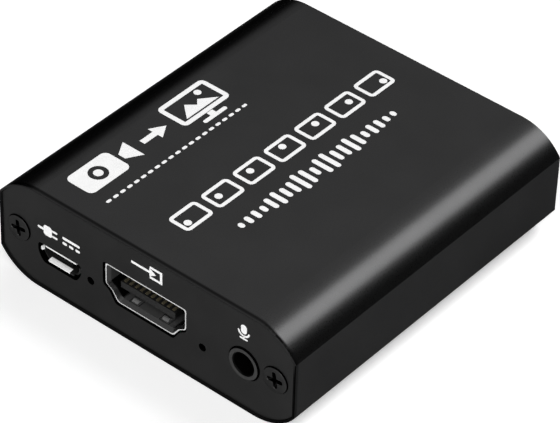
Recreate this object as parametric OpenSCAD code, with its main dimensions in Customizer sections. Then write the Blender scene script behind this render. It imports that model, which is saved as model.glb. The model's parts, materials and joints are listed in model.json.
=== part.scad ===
// Video capture box: an extruded metal sleeve with an end plate set into each mouth,
// and a circuit board that slides into slots along the side walls and carries every
// socket. Sizes are in millimetres. The front plate, with the picture input, faces -Y.
// The origin lies on the base, under the middle of the sleeve, and +Z is up.

/* [Sleeve] */
// Width of the sleeve
body_w = 55; // [53:0.5:70]
// Length of the sleeve from rim to rim
body_d = 59.5; // [57:0.5:90]
// Height of the sleeve
body_h = 17.5; // [16:0.5:24]
// Height of the flat part of each side wall
side_flat_h = 9.8; // [7:0.1:13]
// Thickness of the sleeve's wall
wall_t = 1.5; // [1.2:0.1:2]
// Thickness of the rim left round an end plate
rim_t = 0.35; // [0.3:0.05:0.8]
// Chamfer on the outer edge of each rim
rim_chamfer = 0.1; // [0.05:0.05:0.25]

/* [End plates] */
// Thickness of an end plate
plate_t = 1.5; // [1.2:0.1:2.5]
// How far the face of an end plate lies inside the rim
plate_set = 0.3; // [0.1:0.05:0.5]
// Gap between an end plate and the rim round it
plate_gap = 0.12; // [0.05:0.01:0.2]
// Gap between a socket and the edge of its cut-out
port_gap = 0.25; // [0.1:0.05:0.4]
// Diameter of an indicator hole
led_hole_d = 1.3; // [0.8:0.1:2]

/* [Screws] */
// Distance from a screw's axis to the outside of the side wall
screw_inset = 3.6; // [3.4:0.1:4.5]
// Diameter of the shank
screw_d = 2.2; // [1.8:0.1:2.6]
// Length of the shank
screw_l = 6; // [4:0.5:10]
// Length of the shank's pointed end
screw_tip_l = 1; // [0.5:0.1:2]
// Diameter of the shank at its tip
screw_tip_d = 1.1; // [0.6:0.1:1.4]
// Diameter of the head
head_d = 4.2; // [3.6:0.1:4.6]
// Height of the head at its middle
head_h = 1; // [0.8:0.05:1.4]
// Height of the head's straight edge
head_edge_h = 0.82; // [0.3:0.02:0.85]
// Depth of the counterbore that the head sits in
head_seat = 0.75; // [0.4:0.05:0.9]
// Gap round the head in its counterbore
head_gap = 0.1; // [0.05:0.01:0.3]
// Gap round the shank in the end plate
shank_gap = 0.25; // [0.1:0.05:0.4]
// Length of the cross recess from tip to tip
cross_l = 2.5; // [2:0.1:3]
// Width of the cross recess
cross_w = 0.65; // [0.4:0.05:0.7]
// Depth of the cross recess
cross_depth = 0.6; // [0.3:0.05:0.7]
// Turn of the recess in a tightened screw, in degrees
cross_turn = 8; // [0:1:89]
// Outer diameter of a screw channel in the sleeve
channel_d = 4.6; // [4:0.1:5]
// Gap between the shank and the bore of its channel
channel_gap = 0.05; // [0.03:0.01:0.1]
// Width of the open side of a screw channel
channel_mouth = 1; // [0.6:0.1:1.4]

/* [Circuit board] */
// Thickness of the board
board_t = 1.6; // [1:0.1:2]
// Height of the board's top face above the base
board_top = 5.15; // [5:0.05:5.8]
// Chamfer on the corners of the board
board_corner = 1; // [0.5:0.1:2]
// How far each edge of the board reaches into its slot
slot_depth = 1.2; // [0.8:0.1:2]
// Gap round the edge of the board in its slot
slot_gap = 0.1; // [0.05:0.01:0.2]
// Thickness of the ribs that form the slots
rib_t = 1; // [0.6:0.1:1.2]
// Gap between the board and each end plate
end_gap = 0.15; // [0.05:0.01:0.3]
// Gap between neighbouring parts on the board
part_gap = 0.45; // [0.2:0.05:0.6]

/* [Socket shells] */
// Thickness of the sheet that the shells are folded from
shell_t = 0.25; // [0.2:0.01:0.35]
// Width of a shell's leg
leg_w = 1.2; // [0.8:0.1:2]
// How far the legs reach below the board
leg_drop = 0.6; // [0.2:0.1:1.2]
// Gap round a leg or a peg in the board
leg_gap = 0.15; // [0.05:0.05:0.3]
// Gap between a shell and the insulator inside it
insulator_gap = 0.04; // [0.02:0.01:0.1]
// Thickness of the contacts
contact_t = 0.12; // [0.08:0.01:0.2]
// Length of the foot of a contact on the board
contact_foot = 0.8; // [0.4:0.1:1.2]
// Width of the cut round a spring finger
finger_cut = 0.2; // [0.15:0.05:0.5]
// How far the bump of a spring finger stands into the opening
finger_bump = 0.3; // [0.15:0.05:0.5]

/* [Video sockets] */
// Distance of the input from the middle, to the right
input_x = 0; // [-1:0.1:1]
// Distance of the output from the middle, to the left
output_x = 4.6; // [4:0.1:6]
// Height of the axis above the board
video_axis = 3.25; // [3.1:0.05:4]
// Width of the opening
video_w = 14; // [13.5:0.1:14.5]
// Height of the opening
video_h = 4.7; // [4.4:0.1:5]
// Width of the opening at its foot
video_foot_w = 9.7; // [9:0.1:10.5]
// Height of the straight sides
video_side_h = 2.9; // [2.5:0.1:3.2]
// Inward step below the straight sides
video_step_w = 1.1; // [0.6:0.1:1.4]
// Drop of that step
video_step_h = 0.5; // [0.3:0.1:0.8]
// Radius of the corners
video_corner = 0.45; // [0.2:0.05:0.5]
// How far the mouth flares to each side
video_flare_x = 0.3; // [0.1:0.05:0.4]
// How far the mouth flares up and down
video_flare_z = 0.45; // [0.2:0.05:0.5]
// Depth of the flare
video_flare_d = 0.6; // [0.4:0.1:1.3]
// Length of the shell
video_l = 11; // [10:0.1:13]
// How far the mouth stands out from the edge of the board
video_reach = 1.4; // [1:0.05:1.6]
// Width of the tongue
video_tongue_w = 10.1; // [9.8:0.1:11.4]
// Thickness of the tongue
video_tongue_t = 1.1; // [0.9:0.1:1.6]
// Height of the tongue's middle above the axis
video_tongue_z = 0.15; // [-0.4:0.05:0.3]
// Distance from the mouth to the tip of the tongue
video_tongue_y = 0.5; // [0.3:0.1:2]
// Length of the block that carries the tongue
video_block_l = 3.6; // [3:0.1:5]
// Number of contacts on top of the tongue, one more than below
video_pins = 10; // [6:1:10]
// Distance between neighbouring contacts
video_pitch = 1; // [0.8:0.05:1]
// Width of a contact
video_pin_w = 0.45; // [0.3:0.05:0.5]
// Width of a spring finger
video_finger_w = 1.5; // [1:0.1:2]
// Length of a spring finger
video_finger_l = 4.2; // [3:0.1:5]
// Distance of a spring finger from the middle of the socket
video_finger_x = 2.8; // [2:0.1:3.2]

/* [Power socket] */
// Distance of the socket from the left screw
power_pitch = 7.8; // [7:0.1:9]
// Height of the axis above the board
power_axis = 1.45; // [1.3:0.05:1.8]
// Width of the opening
power_w = 6.9; // [6.6:0.1:7.4]
// Height of the opening
power_h = 1.95; // [1.8:0.05:2.2]
// Width of the opening at its foot
power_foot_w = 5.3; // [4.8:0.1:5.8]
// Height of the straight sides
power_side_h = 1; // [0.8:0.05:1.2]
// Radius of the corners
power_corner = 0.35; // [0.2:0.05:0.4]
// How far the mouth flares all round
power_flare = 0.1; // [0.05:0.05:0.25]
// Depth of the flare
power_flare_d = 0.4; // [0.3:0.1:0.9]
// Width of the flared tab at the top of the mouth
power_tab_w = 5.9; // [4:0.1:6.2]
// Width of the flared tab at the foot of the mouth
power_foot_tab_w = 5; // [3.5:0.1:5]
// Height of the flared tab at each side of the mouth
power_side_tab_h = 0.6; // [0.4:0.05:0.8]
// Gap between the mouth and the edge of its cut-out
power_port_gap = 0.35; // [0.1:0.05:0.4]
// Radius of the corners of that cut-out
power_port_corner = 0.65; // [0.2:0.05:0.65]
// Length of the shell
power_l = 5.4; // [5:0.1:6.5]
// How far the mouth stands out from the edge of the board
power_reach = 1.4; // [1:0.05:1.6]
// Width of the tongue
power_tongue_w = 4; // [3.6:0.1:4.4]
// Thickness of the tongue
power_tongue_t = 0.6; // [0.5:0.05:0.7]
// Height of the tongue's middle above the axis
power_tongue_z = 0.15; // [0:0.05:0.4]
// Distance from the mouth to the tip of the tongue
power_tongue_y = 0.35; // [0.2:0.05:1]
// Length of the block that carries the tongue
power_block_l = 1.6; // [1.2:0.1:2.2]
// Number of contacts
power_pins = 5; // [2:1:5]
// Distance between neighbouring contacts
power_pin_pitch = 0.65; // [0.6:0.05:0.7]
// Width of a contact
power_pin_w = 0.35; // [0.25:0.05:0.4]

/* [Data socket] */
// Distance of the socket from the screw beside it
data_pitch = 11.7; // [11.2:0.1:13]
// Height of the axis above the board
data_axis = 3.4; // [3.3:0.05:4]
// Width of the opening
data_w = 12.5; // [12.2:0.1:12.8]
// Height of the opening
data_h = 5.15; // [5:0.05:5.4]
// Radius of the corners
data_corner = 0.5; // [0.3:0.05:0.8]
// How far the mouth flares all round
data_flare = 0.35; // [0.15:0.05:0.4]
// Depth of the flare
data_flare_d = 1; // [0.6:0.1:1.3]
// Length of the shell
data_l = 13; // [12:0.1:14]
// How far the mouth stands out from the edge of the board
data_reach = 1.4; // [1:0.05:1.6]
// Width of the tongue
data_tongue_w = 11.1; // [10.6:0.1:11.4]
// Thickness of the tongue
data_tongue_t = 1.8; // [1.5:0.05:2]
// Height of the tongue's middle above the axis
data_tongue_z = 0.95; // [0.8:0.05:1.2]
// Distance from the mouth to the tip of the tongue
data_tongue_y = 1; // [0.6:0.1:2]
// Length of the block that carries the tongue
data_block_l = 3; // [2.5:0.1:4]
// Number of contacts
data_pins = 4; // [2:1:4]
// Distance between neighbouring contacts
data_pin_pitch = 2.3; // [2:0.05:2.5]
// Width of a contact
data_pin_w = 1; // [0.6:0.1:1.2]
// Width of a spring finger
data_finger_w = 2; // [1.5:0.1:2.4]
// Length of a spring finger
data_finger_l = 5.5; // [4:0.1:6]
// Distance of a spring finger from the middle of the socket
data_finger_x = 3.2; // [2.6:0.1:3.8]

/* [Sound jacks] */
// Distance of a jack from the screw beside it
jack_pitch = 5.6; // [5.2:0.1:6]
// Height of the axis above the board
jack_axis = 3.15; // [2.9:0.05:3.4]
// Diameter of the bore
jack_bore_d = 3.6; // [3.5:0.05:3.8]
// Depth of the bore from the face of the nose
jack_bore_l = 14; // [13:0.1:14.5]
// Diameter of the bore's widened rim
jack_rim_d = 4; // [3.9:0.05:4.3]
// Outer diameter of the nose
jack_nose_d = 5.1; // [4.8:0.1:5.4]
// How far the nose stands out from the edge of the board
jack_reach = 1.9; // [1.7:0.05:2.2]
// Width of the housing
jack_w = 5.8; // [5.4:0.1:6]
// Height of the housing
jack_h = 5.8; // [5.6:0.1:6.4]
// Length of the housing
jack_l = 12.8; // [12.4:0.1:14]
// Length of a contact spring
spring_l = 3.6; // [3:0.1:3.8]
// Height of a contact spring
spring_h = 1.2; // [0.8:0.1:1.4]
// Thickness of a contact spring
spring_t = 0.25; // [0.2:0.05:0.35]
// Gap between a contact spring and its pocket, and the plug beside it
spring_gap = 0.1; // [0.08:0.01:0.15]
// Diameter of the pegs that locate the housing in the board
peg_d = 1; // [0.8:0.1:1.2]
// Length of the pegs
peg_l = 1.2; // [0.8:0.1:1.4]

/* [Indicators] */
// How far the power indicator sits left of the middle, as a share of the room beside it
power_led_shift = 0.1017; // [0:0.0001:0.2]
// How far the signal indicator sits left of the middle, as a share of the room beside it
signal_led_shift = 0.1008; // [0:0.0001:0.2]
// Height of the light's axis above the board
led_axis = 1.5; // [1.3:0.05:1.8]
// Width of the housing
led_w = 2.2; // [1.8:0.1:2.6]
// Depth of the housing
led_d = 1.6; // [1.2:0.1:2]
// Height of the housing
led_h = 2.4; // [2.2:0.1:2.8]
// Diameter of the lens
led_lens_d = 1.6; // [1.2:0.1:1.8]
// How far the lens stands out of the housing
led_lens_h = 0.5; // [0.3:0.05:0.6]

/* [Chips] */
// Side of the splitter chip's body
splitter_w = 10; // [9:0.1:11]
// Height of the splitter chip
splitter_t = 1.5; // [1.2:0.1:1.8]
// Leads on each side of the splitter chip
splitter_leads = 16; // [8:1:16]
// Distance between leads of the splitter chip
splitter_pitch = 0.5; // [0.4:0.05:0.5]
// Width of a splitter lead
splitter_lead_w = 0.22; // [0.15:0.01:0.26]
// Side of the capture chip's body
capture_w = 7; // [6:0.1:8]
// Height of the capture chip
capture_t = 0.9; // [0.8:0.1:1.2]
// Pads on each side of the capture chip
capture_pads = 12; // [8:1:12]
// Distance between pads of the capture chip
capture_pitch = 0.5; // [0.4:0.05:0.5]
// Width and height of the notch over a pad
capture_notch = 0.25; // [0.15:0.01:0.3]
// Depth of the notch over a pad
capture_notch_depth = 0.06; // [0.03:0.01:0.1]
// Width of the memory chip across its leads' sides
memory_w = 3.9; // [3.8:0.1:4.2]
// Length of the memory chip
memory_l = 4.9; // [4.8:0.1:5.2]
// Height of the memory chip
memory_t = 1.6; // [1.4:0.1:1.8]
// Leads on each side of the memory chip
memory_leads = 4; // [2:1:4]
// Distance between leads of the memory chip
memory_pitch = 1.27; // [1:0.01:1.27]
// Width of a memory lead
memory_lead_w = 0.42; // [0.3:0.02:0.5]
// Thickness of the chips' leads
lead_t = 0.14; // [0.1:0.01:0.2]
// How far the leads reach out from a chip's body
lead_reach = 1; // [0.8:0.05:1.2]
// How far a lead runs out before it bends down
lead_knee = 0.35; // [0.2:0.05:0.4]
// Length of a lead's foot
lead_foot = 0.45; // [0.2:0.05:0.5]
// Gap under the body of a leaded chip
chip_lift = 0.1; // [0.05:0.01:0.15]
// Diameter of the mark at a chip's first lead
chip_mark_d = 0.9; // [0.6:0.1:1.2]
// Distance of the mark from the edges of the chip
chip_mark_in = 1.2; // [0.8:0.1:1.5]
// Depth of that mark
chip_mark_depth = 0.08; // [0.05:0.01:0.1]

/* [Power and clock parts] */
// Length of a regulator's body
regulator_l = 6.5; // [6:0.1:6.8]
// Width of a regulator's body
regulator_w = 3.5; // [3.3:0.1:3.7]
// Height of a regulator
regulator_t = 1.7; // [1.5:0.1:1.9]
// Width of a regulator's leads
regulator_lead_w = 0.7; // [0.5:0.1:0.9]
// Width of a regulator's tab
regulator_tab_w = 3; // [2.6:0.1:3.4]
// Number of leads along a regulator's side
regulator_leads = 3; // [2:1:3]
// Distance between a regulator's leads
regulator_pitch = 2.3; // [2:0.05:2.4]
// Length of a crystal's can
crystal_l = 10.2; // [9:0.1:10.6]
// Width of a crystal's can
crystal_w = 3.8; // [3.4:0.1:4]
// Height of a crystal
crystal_h = 3.5; // [3:0.1:4.2]
// Rim round the foot of a crystal
crystal_rim = 0.45; // [0.3:0.05:0.5]
// Thickness of that rim
crystal_rim_t = 0.5; // [0.3:0.05:0.7]
// Diameter of a can capacitor
can_d = 5; // [4:0.1:5.3]
// Height of a can capacitor
can_h = 5.4; // [4.5:0.1:6]
// Thickness of a can capacitor's base
can_base_t = 0.8; // [0.5:0.1:1]
// Width of the base beyond the can
can_base_rim = 0.15; // [0.1:0.05:0.2]
// Chamfer on two corners of that base
can_corner = 1; // [0.6:0.1:1.4]
// Depth of the groove rolled round the can
can_groove = 0.25; // [0.15:0.01:0.35]
// Side of the choke
choke_w = 5; // [4:0.1:5.2]
// Height of the choke
choke_h = 2.6; // [2:0.1:3.2]
// Chamfer on the corners of the choke
choke_corner = 0.8; // [0.5:0.1:1.2]
// Diameter of the hollow in the top of the choke
choke_hollow_d = 3.4; // [2.6:0.1:3.6]
// Depth of that hollow
choke_hollow = 0.4; // [0.2:0.05:0.6]
// Length of a chip resistor or chip capacitor
chip_part_l = 1.6; // [1.4:0.1:1.7]
// Width of a chip resistor or chip capacitor
chip_part_w = 0.8; // [0.6:0.05:0.9]
// Height of a chip capacitor
chip_cap_t = 0.8; // [0.6:0.05:0.9]
// Height of a chip resistor
chip_res_t = 0.45; // [0.3:0.05:0.6]
// Distance between chip parts in a row
chip_part_pitch = 1.6; // [1.4:0.1:1.7]

/* [Hidden] */
$fn = 64;

// Length by which a cutter passes the face that it cuts
over = 1;
// Small step by which joined shapes reach into each other
sink = 0.05;

// Sleeve, seen from the front
arc_r = body_h / 2;
arc_x = body_w / 2 - sqrt(pow(arc_r, 2) - pow(side_flat_h / 2, 2));
front_y = -body_d / 2;
plate_y = front_y + plate_set;
screw_x = body_w / 2 - screw_inset;
screw_z = body_h / 2;
dome_rise = head_h - head_edge_h;
dome_r = (pow(head_d / 2, 2) + pow(dome_rise, 2)) / (2 * dome_rise);

// Board and its slots
slot_low = board_top - board_t - slot_gap;
slot_high = board_top + slot_gap;
slot_x = min(body_w / 2 - wall_t,
             arc_x + sqrt(pow(arc_r - wall_t, 2) - pow(arc_r - slot_low, 2)));
board_half = slot_x - slot_gap;
board_end = -plate_y - plate_t - end_gap;

// Places of the sockets along the plates
power_x = -(screw_x - power_pitch);
mic_x = screw_x - jack_pitch;
sound_x = -(screw_x - jack_pitch);
data_x = screw_x - data_pitch;
video_side = video_w / 2 + shell_t;

// The indicators stand between two sockets and share the room that these leave
function led_place(from, to, shift) = (from + to) / 2 - shift * (to - from - led_w);
power_led_x = led_place(power_x + power_w / 2 + shell_t, input_x - video_side, power_led_shift);
signal_led_x = led_place(input_x + video_side, mic_x - jack_w / 2, signal_led_shift);

// Legs of the shells and pegs of the jacks, behind the edge of the board
video_leg_y = [2.2, 7.4];
power_leg_y = [1.6];
data_leg_y = [3, 9];
peg_y = [3, 10];
// Contact springs of a jack: side, and start behind the edge of the board
jack_springs = [[1, 3], [-1, 5.4], [1, 8.2]];

// Room on the board: inside the screw channels, and between the backs of the sockets
tail_l = 2 * contact_t + contact_foot;
side_room = screw_x - channel_d / 2 - part_gap;
power_back = power_l - power_reach + tail_l + part_gap - board_end;
video_back = video_l - video_reach + tail_l + part_gap - board_end;
jack_back = jack_l + part_gap - board_end;
data_back = data_l - data_reach + tail_l + part_gap - board_end;
row_step = chip_part_l + part_gap;

// Left column: can, regulator and crystal behind the power socket, regulator before the jack
can_base = can_d + 2 * can_base_rim;
crystal_half_w = crystal_w / 2 + crystal_rim;
crystal_half_l = crystal_l / 2 + crystal_rim;
regulator_half = regulator_w / 2 + lead_reach;
left_can_y = power_back + can_base / 2;
left_regulator_y = left_can_y + can_base / 2 + part_gap + regulator_half;
left_crystal_y = left_regulator_y + regulator_half + part_gap + crystal_half_l;
choke_at = [input_x - video_side - part_gap - choke_w / 2, power_back + choke_w / 2];

// Right column: two cans behind the microphone jack, with the second crystal beside them
right_can_x = side_room - can_base / 2;
right_can_y = jack_back + can_base / 2;
right_crystal_x = side_room - can_base - part_gap - crystal_half_w;
cans_at = [
    [can_base / 2 - side_room, left_can_y],
    [right_can_x, right_can_y],
    [right_can_x, right_can_y + can_base + part_gap]
];
crystals_at = [
    [crystal_half_w - side_room, left_crystal_y],
    [right_crystal_x, jack_back + crystal_half_l]
];
regulators_at = [
    [regulator_l / 2 - side_room, left_regulator_y],
    [regulator_l / 2 - side_room, -jack_back - regulator_half]
];

// Middle: splitter behind the input, capture chip and its memory before the data socket
splitter_half = splitter_w / 2 + lead_reach;
splitter_at = [-output_x, video_back + row_step + splitter_half];
capture_at = [data_x - chip_part_pitch, -data_back - 2 * row_step - capture_w / 2];
memory_at = [side_room - memory_w / 2 - lead_reach, capture_at[1]];
// Rows of chip parts: middle, and number in the row
cap_rows = [
    [input_x, video_back + chip_part_l / 2, 8],
    [-output_x, -video_back - row_step - chip_part_l / 2, 8],
    [capture_at[0], -data_back - row_step - chip_part_l / 2, 6]
];
resistor_rows = [
    [-output_x, -video_back - chip_part_l / 2, 9],
    [-output_x, -video_back - 2 * row_step - chip_part_l / 2, 7],
    [capture_at[0], -data_back - chip_part_l / 2, 5]
];

// An outline in X and Z, drawn out along Y
module along_y(start, length) {
    translate([0, start + length, 0]) rotate([90, 0, 0]) linear_extrude(length) children();
}

// An outline in Y and Z, drawn out along X
module along_x(start, length) {
    translate([start, 0, 0]) rotate([90, 0, 90]) linear_extrude(length) children();
}

// Socket frame: the edge of the board at Y = 0, its top face at Z = 0, the mouth to -Y
module at_front(x) {
    translate([x, -board_end, board_top]) children();
}

module at_rear(x) {
    translate([x, board_end, board_top]) rotate(180) children();
}

module on_board(place) {
    translate([place[0], place[1], board_top]) children();
}

// Closed outline with each corner rounded off by a short curve
function unit(v) = v / norm(v);
function rounded(points, r, steps = 4) = let (n = len(points)) [
    for (i = [0:n - 1])
        let (
            corner = points[i],
            from = corner + r * unit(points[(i + n - 1) % n] - corner),
            to = corner + r * unit(points[(i + 1) % n] - corner)
        )
        for (k = [0:steps])
            let (t = k / steps)
            pow(1 - t, 2) * from + 2 * t * (1 - t) * corner + pow(t, 2) * to
];

// Right half of an outline, from the top down, joined to its mirror image
function both_sides(half) = concat(
    half,
    [for (i = [len(half) - 1:-1:0]) [-half[i][0], half[i][1]]]
);
function stretched(points, w, h, grow_x, grow_z) = [
    for (p = points) [p[0] * (w + 2 * grow_x) / w, p[1] * (h + 2 * grow_z) / h]
];

// Outlines of the openings about their own axes, grown sideways and up and down
video_half = [
    [video_w / 2, video_h / 2],
    [video_w / 2, video_h / 2 - video_side_h],
    [video_w / 2 - video_step_w, video_h / 2 - video_side_h - video_step_h],
    [video_foot_w / 2, -video_h / 2]
];
power_half = [
    [power_w / 2, power_h / 2],
    [power_w / 2, power_h / 2 - power_side_h],
    [power_foot_w / 2, -power_h / 2]
];
data_half = [[data_w / 2, data_h / 2], [data_w / 2, -data_h / 2]];
function video_outline(gx, gz) =
    rounded(both_sides(stretched(video_half, video_w, video_h, gx, gz)), video_corner);
function power_outline(gx, gz, r = power_corner) =
    rounded(both_sides(stretched(power_half, power_w, power_h, gx, gz)), r);
function data_outline(gx, gz) =
    rounded(both_sides(stretched(data_half, data_w, data_h, gx, gz)), data_corner);

// Outline of the sleeve, drawn in by an inset
module body_outline(inset = 0) {
    r = arc_r - inset;
    translate([0, arc_r]) intersection() {
        union() {
            square([2 * arc_x, 2 * r], center = true);
            for (side = [-1, 1]) translate([side * arc_x, 0]) circle(r);
        }
        square([body_w - 2 * inset, body_h], center = true);
    }
}

// Solid bar with the sleeve's outline and a chamfered edge at both ends
module sleeve_blank() {
    half = body_d / 2;
    c = rim_chamfer;
    rod = [[0, -half], [arc_r - c, -half], [arc_r, c - half], [arc_r, half - c],
           [arc_r - c, half], [0, half]];
    slab = [[-half, c - arc_r], [c - half, -arc_r], [half - c, -arc_r], [half, c - arc_r],
            [half, arc_r - c], [half - c, arc_r], [c - half, arc_r], [-half, arc_r - c]];
    plan = [[c - body_w / 2, -half], [body_w / 2 - c, -half], [body_w / 2, c - half],
            [body_w / 2, half - c], [body_w / 2 - c, half], [c - body_w / 2, half],
            [-body_w / 2, half - c], [-body_w / 2, c - half]];
    intersection() {
        translate([0, 0, arc_r]) union() {
            for (side = [-1, 1])
                translate([side * arc_x, 0, 0]) rotate([90, 0, 0]) rotate_extrude() polygon(rod);
            along_x(-arc_x, 2 * arc_x) polygon(slab);
        }
        linear_extrude(body_h) polygon(plan);
    }
}

// Ribs and screw channel that stand on the right wall, seen from the front
module wall_lands() {
    rib_x = board_half - slot_depth;
    difference() {
        union() {
            translate([rib_x, slot_low - rib_t])
                square([body_w / 2 - rib_x, slot_high - slot_low + 2 * rib_t]);
            translate([screw_x, screw_z]) circle(d = channel_d);
            translate([screw_x, screw_z - channel_d / 2]) square([screw_inset, channel_d]);
        }
        translate([rib_x - over, slot_low]) square([slot_x - rib_x + over, slot_high - slot_low]);
        translate([screw_x, screw_z]) circle(d = screw_d + 2 * channel_gap);
        translate([screw_x - channel_d, screw_z - channel_mouth / 2])
            square([channel_d, channel_mouth]);
    }
}

module cavity_section() {
    difference() {
        body_outline(wall_t);
        wall_lands();
        mirror([1, 0]) wall_lands();
    }
}

module sleeve() {
    color("#1d1d1f") difference() {
        sleeve_blank();
        along_y(front_y - over, body_d + 2 * over) cavity_section();
        along_y(front_y - over, plate_set + plate_t + over) body_outline(rim_t);
        along_y(-plate_y - plate_t, plate_set + plate_t + over) body_outline(rim_t);
    }
}

// Counterbored screw holes in an end plate whose outer face is at Y = 0, facing -Y
module screw_seats() {
    for (side = [-1, 1]) translate([side * screw_x, -over, screw_z]) rotate([-90, 0, 0]) {
        cylinder(d = head_d + 2 * head_gap, h = head_seat + over);
        cylinder(d = screw_d + 2 * shank_gap, h = plate_t + 2 * over);
    }
}

module jack_hole(x) {
    translate([x, board_top + jack_axis]) circle(d = jack_nose_d + 2 * port_gap);
}

module video_hole(x) {
    translate([x, board_top + video_axis]) polygon(
        video_outline(video_flare_x + shell_t + port_gap, video_flare_z + shell_t + port_gap));
}

module front_plate() {
    power_grow = power_flare + shell_t + power_port_gap;
    color("#242425") difference() {
        along_y(plate_y, plate_t) difference() {
            body_outline(rim_t + plate_gap);
            video_hole(input_x);
            jack_hole(mic_x);
            translate([power_x, board_top + power_axis])
                polygon(power_outline(power_grow, power_grow, power_port_corner));
            for (x = [power_led_x, signal_led_x])
                translate([x, board_top + led_axis]) circle(d = led_hole_d);
        }
        translate([0, plate_y, 0]) screw_seats();
    }
}

module rear_plate() {
    data_grow = data_flare + shell_t + port_gap;
    color("#242425") difference() {
        along_y(-plate_y - plate_t, plate_t) difference() {
            body_outline(rim_t + plate_gap);
            video_hole(-output_x);
            jack_hole(sound_x);
            translate([data_x, board_top + data_axis])
                polygon(data_outline(data_grow, data_grow));
        }
        translate([0, -plate_y, 0]) rotate(180) screw_seats();
    }
}

// Screw with a slightly domed head and a cross recess: the head's seat at Z = 0, the head up
module screw() {
    difference() {
        union() {
            rotate_extrude() intersection() {
                square([head_d / 2, head_h]);
                translate([0, head_h - dome_r]) circle(dome_r);
            }
            translate([0, 0, screw_tip_l - screw_l])
                cylinder(d = screw_d, h = screw_l - screw_tip_l + sink);
            translate([0, 0, -screw_l]) cylinder(d1 = screw_tip_d, d2 = screw_d, h = screw_tip_l);
        }
        translate([0, 0, head_h - cross_depth]) rotate(cross_turn) linear_extrude(cross_depth + over) {
            square([cross_l, cross_w], center = true);
            square([cross_w, cross_l], center = true);
        }
    }
}

module front_screws() {
    color("#2b2b2d") for (side = [-1, 1])
        translate([side * screw_x, plate_y + head_seat, screw_z]) rotate([90, 0, 0]) screw();
}

module rear_screws() {
    color("#2b2b2d") for (side = [-1, 1])
        translate([side * screw_x, -plate_y - head_seat, screw_z]) rotate([-90, 0, 0]) screw();
}

module main_board() {
    x = board_half;
    y = board_end;
    c = board_corner;
    color("#14502f") difference() {
        translate([0, 0, board_top - board_t]) linear_extrude(board_t) polygon([
            [c - x, -y], [x - c, -y], [x, c - y], [x, y - c],
            [x - c, y], [c - x, y], [-x, y - c], [-x, c - y]
        ]);
        at_front(input_x) video_legs(leg_gap);
        at_rear(-output_x) video_legs(leg_gap);
        at_front(power_x) power_legs(leg_gap);
        at_rear(data_x) data_legs(leg_gap);
        at_front(mic_x) jack_pegs(leg_gap);
        at_rear(sound_x) jack_pegs(leg_gap);
    }
}

// Sheet shell skinned over outlines that run back along its outside and forward inside
module skin(rings) {
    m = len(rings);
    n = len(rings[0]);
    polyhedron(
        points = [for (ring = rings) each ring],
        faces = [
            for (j = [0:m - 1], i = [0:n - 1])
                let (next = (j + 1) % m, side = (i + 1) % n)
                each [
                    [j * n + i, next * n + side, j * n + side],
                    [j * n + i, next * n + i, next * n + side]
                ]
        ]
    );
}

function ring(outline, y, z) = [for (p = outline) [p[0], y, p[1] + z]];

// Pairs of legs that carry on down from the straight sides of a shell
module shell_legs(x, top, rows, grow = 0) {
    low = -board_t - leg_drop;
    for (side = [-1, 1], y = rows)
        translate([side * (x + shell_t / 2), y, (top + low) / 2])
            cube([shell_t + 2 * grow, leg_w + 2 * grow, top - low + 2 * grow], center = true);
}

module video_legs(grow = 0) {
    shell_legs(video_w / 2, video_axis, video_leg_y, grow);
}

module power_legs(grow = 0) {
    shell_legs(power_w / 2, power_axis + power_h / 4, power_leg_y, grow);
}

module data_legs(grow = 0) {
    shell_legs(data_w / 2, data_axis, data_leg_y, grow);
}

// U-shaped cut that frees a spring finger, with the finger's tip at Y = 0
module finger_outline(w, l) {
    difference() {
        translate([-w / 2 - finger_cut, -finger_cut])
            square([w + 2 * finger_cut, l + finger_cut]);
        translate([-w / 2, 0]) square([w, l + over]);
    }
}

// Spring fingers in the top and bottom walls of a shell
module finger_cuts(w, l, x, y, h, axis) {
    for (side = [-1, 1], wall = [-1, 1])
        translate([side * x, y, axis + wall * (h / 2 + shell_t / 2)])
            linear_extrude(shell_t + 2 * sink, center = true) finger_outline(w, l);
}

module finger_bumps(w, x, y, h, axis) {
    r = finger_bump + shell_t;
    for (side = [-1, 1], wall = [-1, 1])
        translate([side * x, y + r, axis + wall * (h / 2 + shell_t)])
            intersection() {
                rotate([0, 90, 0]) cylinder(r = r, h = w - 2 * finger_cut, center = true);
                translate([0, 0, -wall * (r + shell_t / 2)])
                    cube([w, 3 * r, 2 * r], center = true);
            }
}

module video_shell() {
    mouth = -video_reach;
    neck = mouth + video_flare_d;
    back = mouth + video_l;
    lip = video_outline(video_flare_x + shell_t, video_flare_z + shell_t);
    outer = video_outline(shell_t, shell_t);
    inner = video_outline(0, 0);
    lip_inner = video_outline(video_flare_x, video_flare_z);
    finger_y = neck + finger_cut;
    difference() {
        skin([
            ring(lip, mouth, video_axis), ring(outer, neck, video_axis),
            ring(outer, back, video_axis), ring(inner, back, video_axis),
            ring(inner, neck, video_axis), ring(lip_inner, mouth, video_axis)
        ]);
        finger_cuts(video_finger_w, video_finger_l, video_finger_x, finger_y, video_h, video_axis);
    }
    finger_bumps(video_finger_w, video_finger_x, finger_y, video_h, video_axis);
    video_legs();
}

module video_insulator() {
    back = video_l - video_reach;
    front = back - video_block_l;
    tip = video_tongue_y - video_reach;
    middle = video_axis + video_tongue_z;
    span = video_pins * video_pitch;
    difference() {
        union() {
            translate([0, 0, video_axis]) along_y(front, video_block_l)
                polygon(video_outline(-insulator_gap, -insulator_gap));
            translate([-video_tongue_w / 2, tip, middle - video_tongue_t / 2])
                cube([video_tongue_w, front - tip + sink, video_tongue_t]);
        }
        for (level = [video_tongue_t / 2, -video_tongue_t / 2 - contact_t])
            translate([-span / 2, front - over, middle + level])
                cube([span, video_block_l + 2 * over, contact_t]);
    }
}

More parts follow.
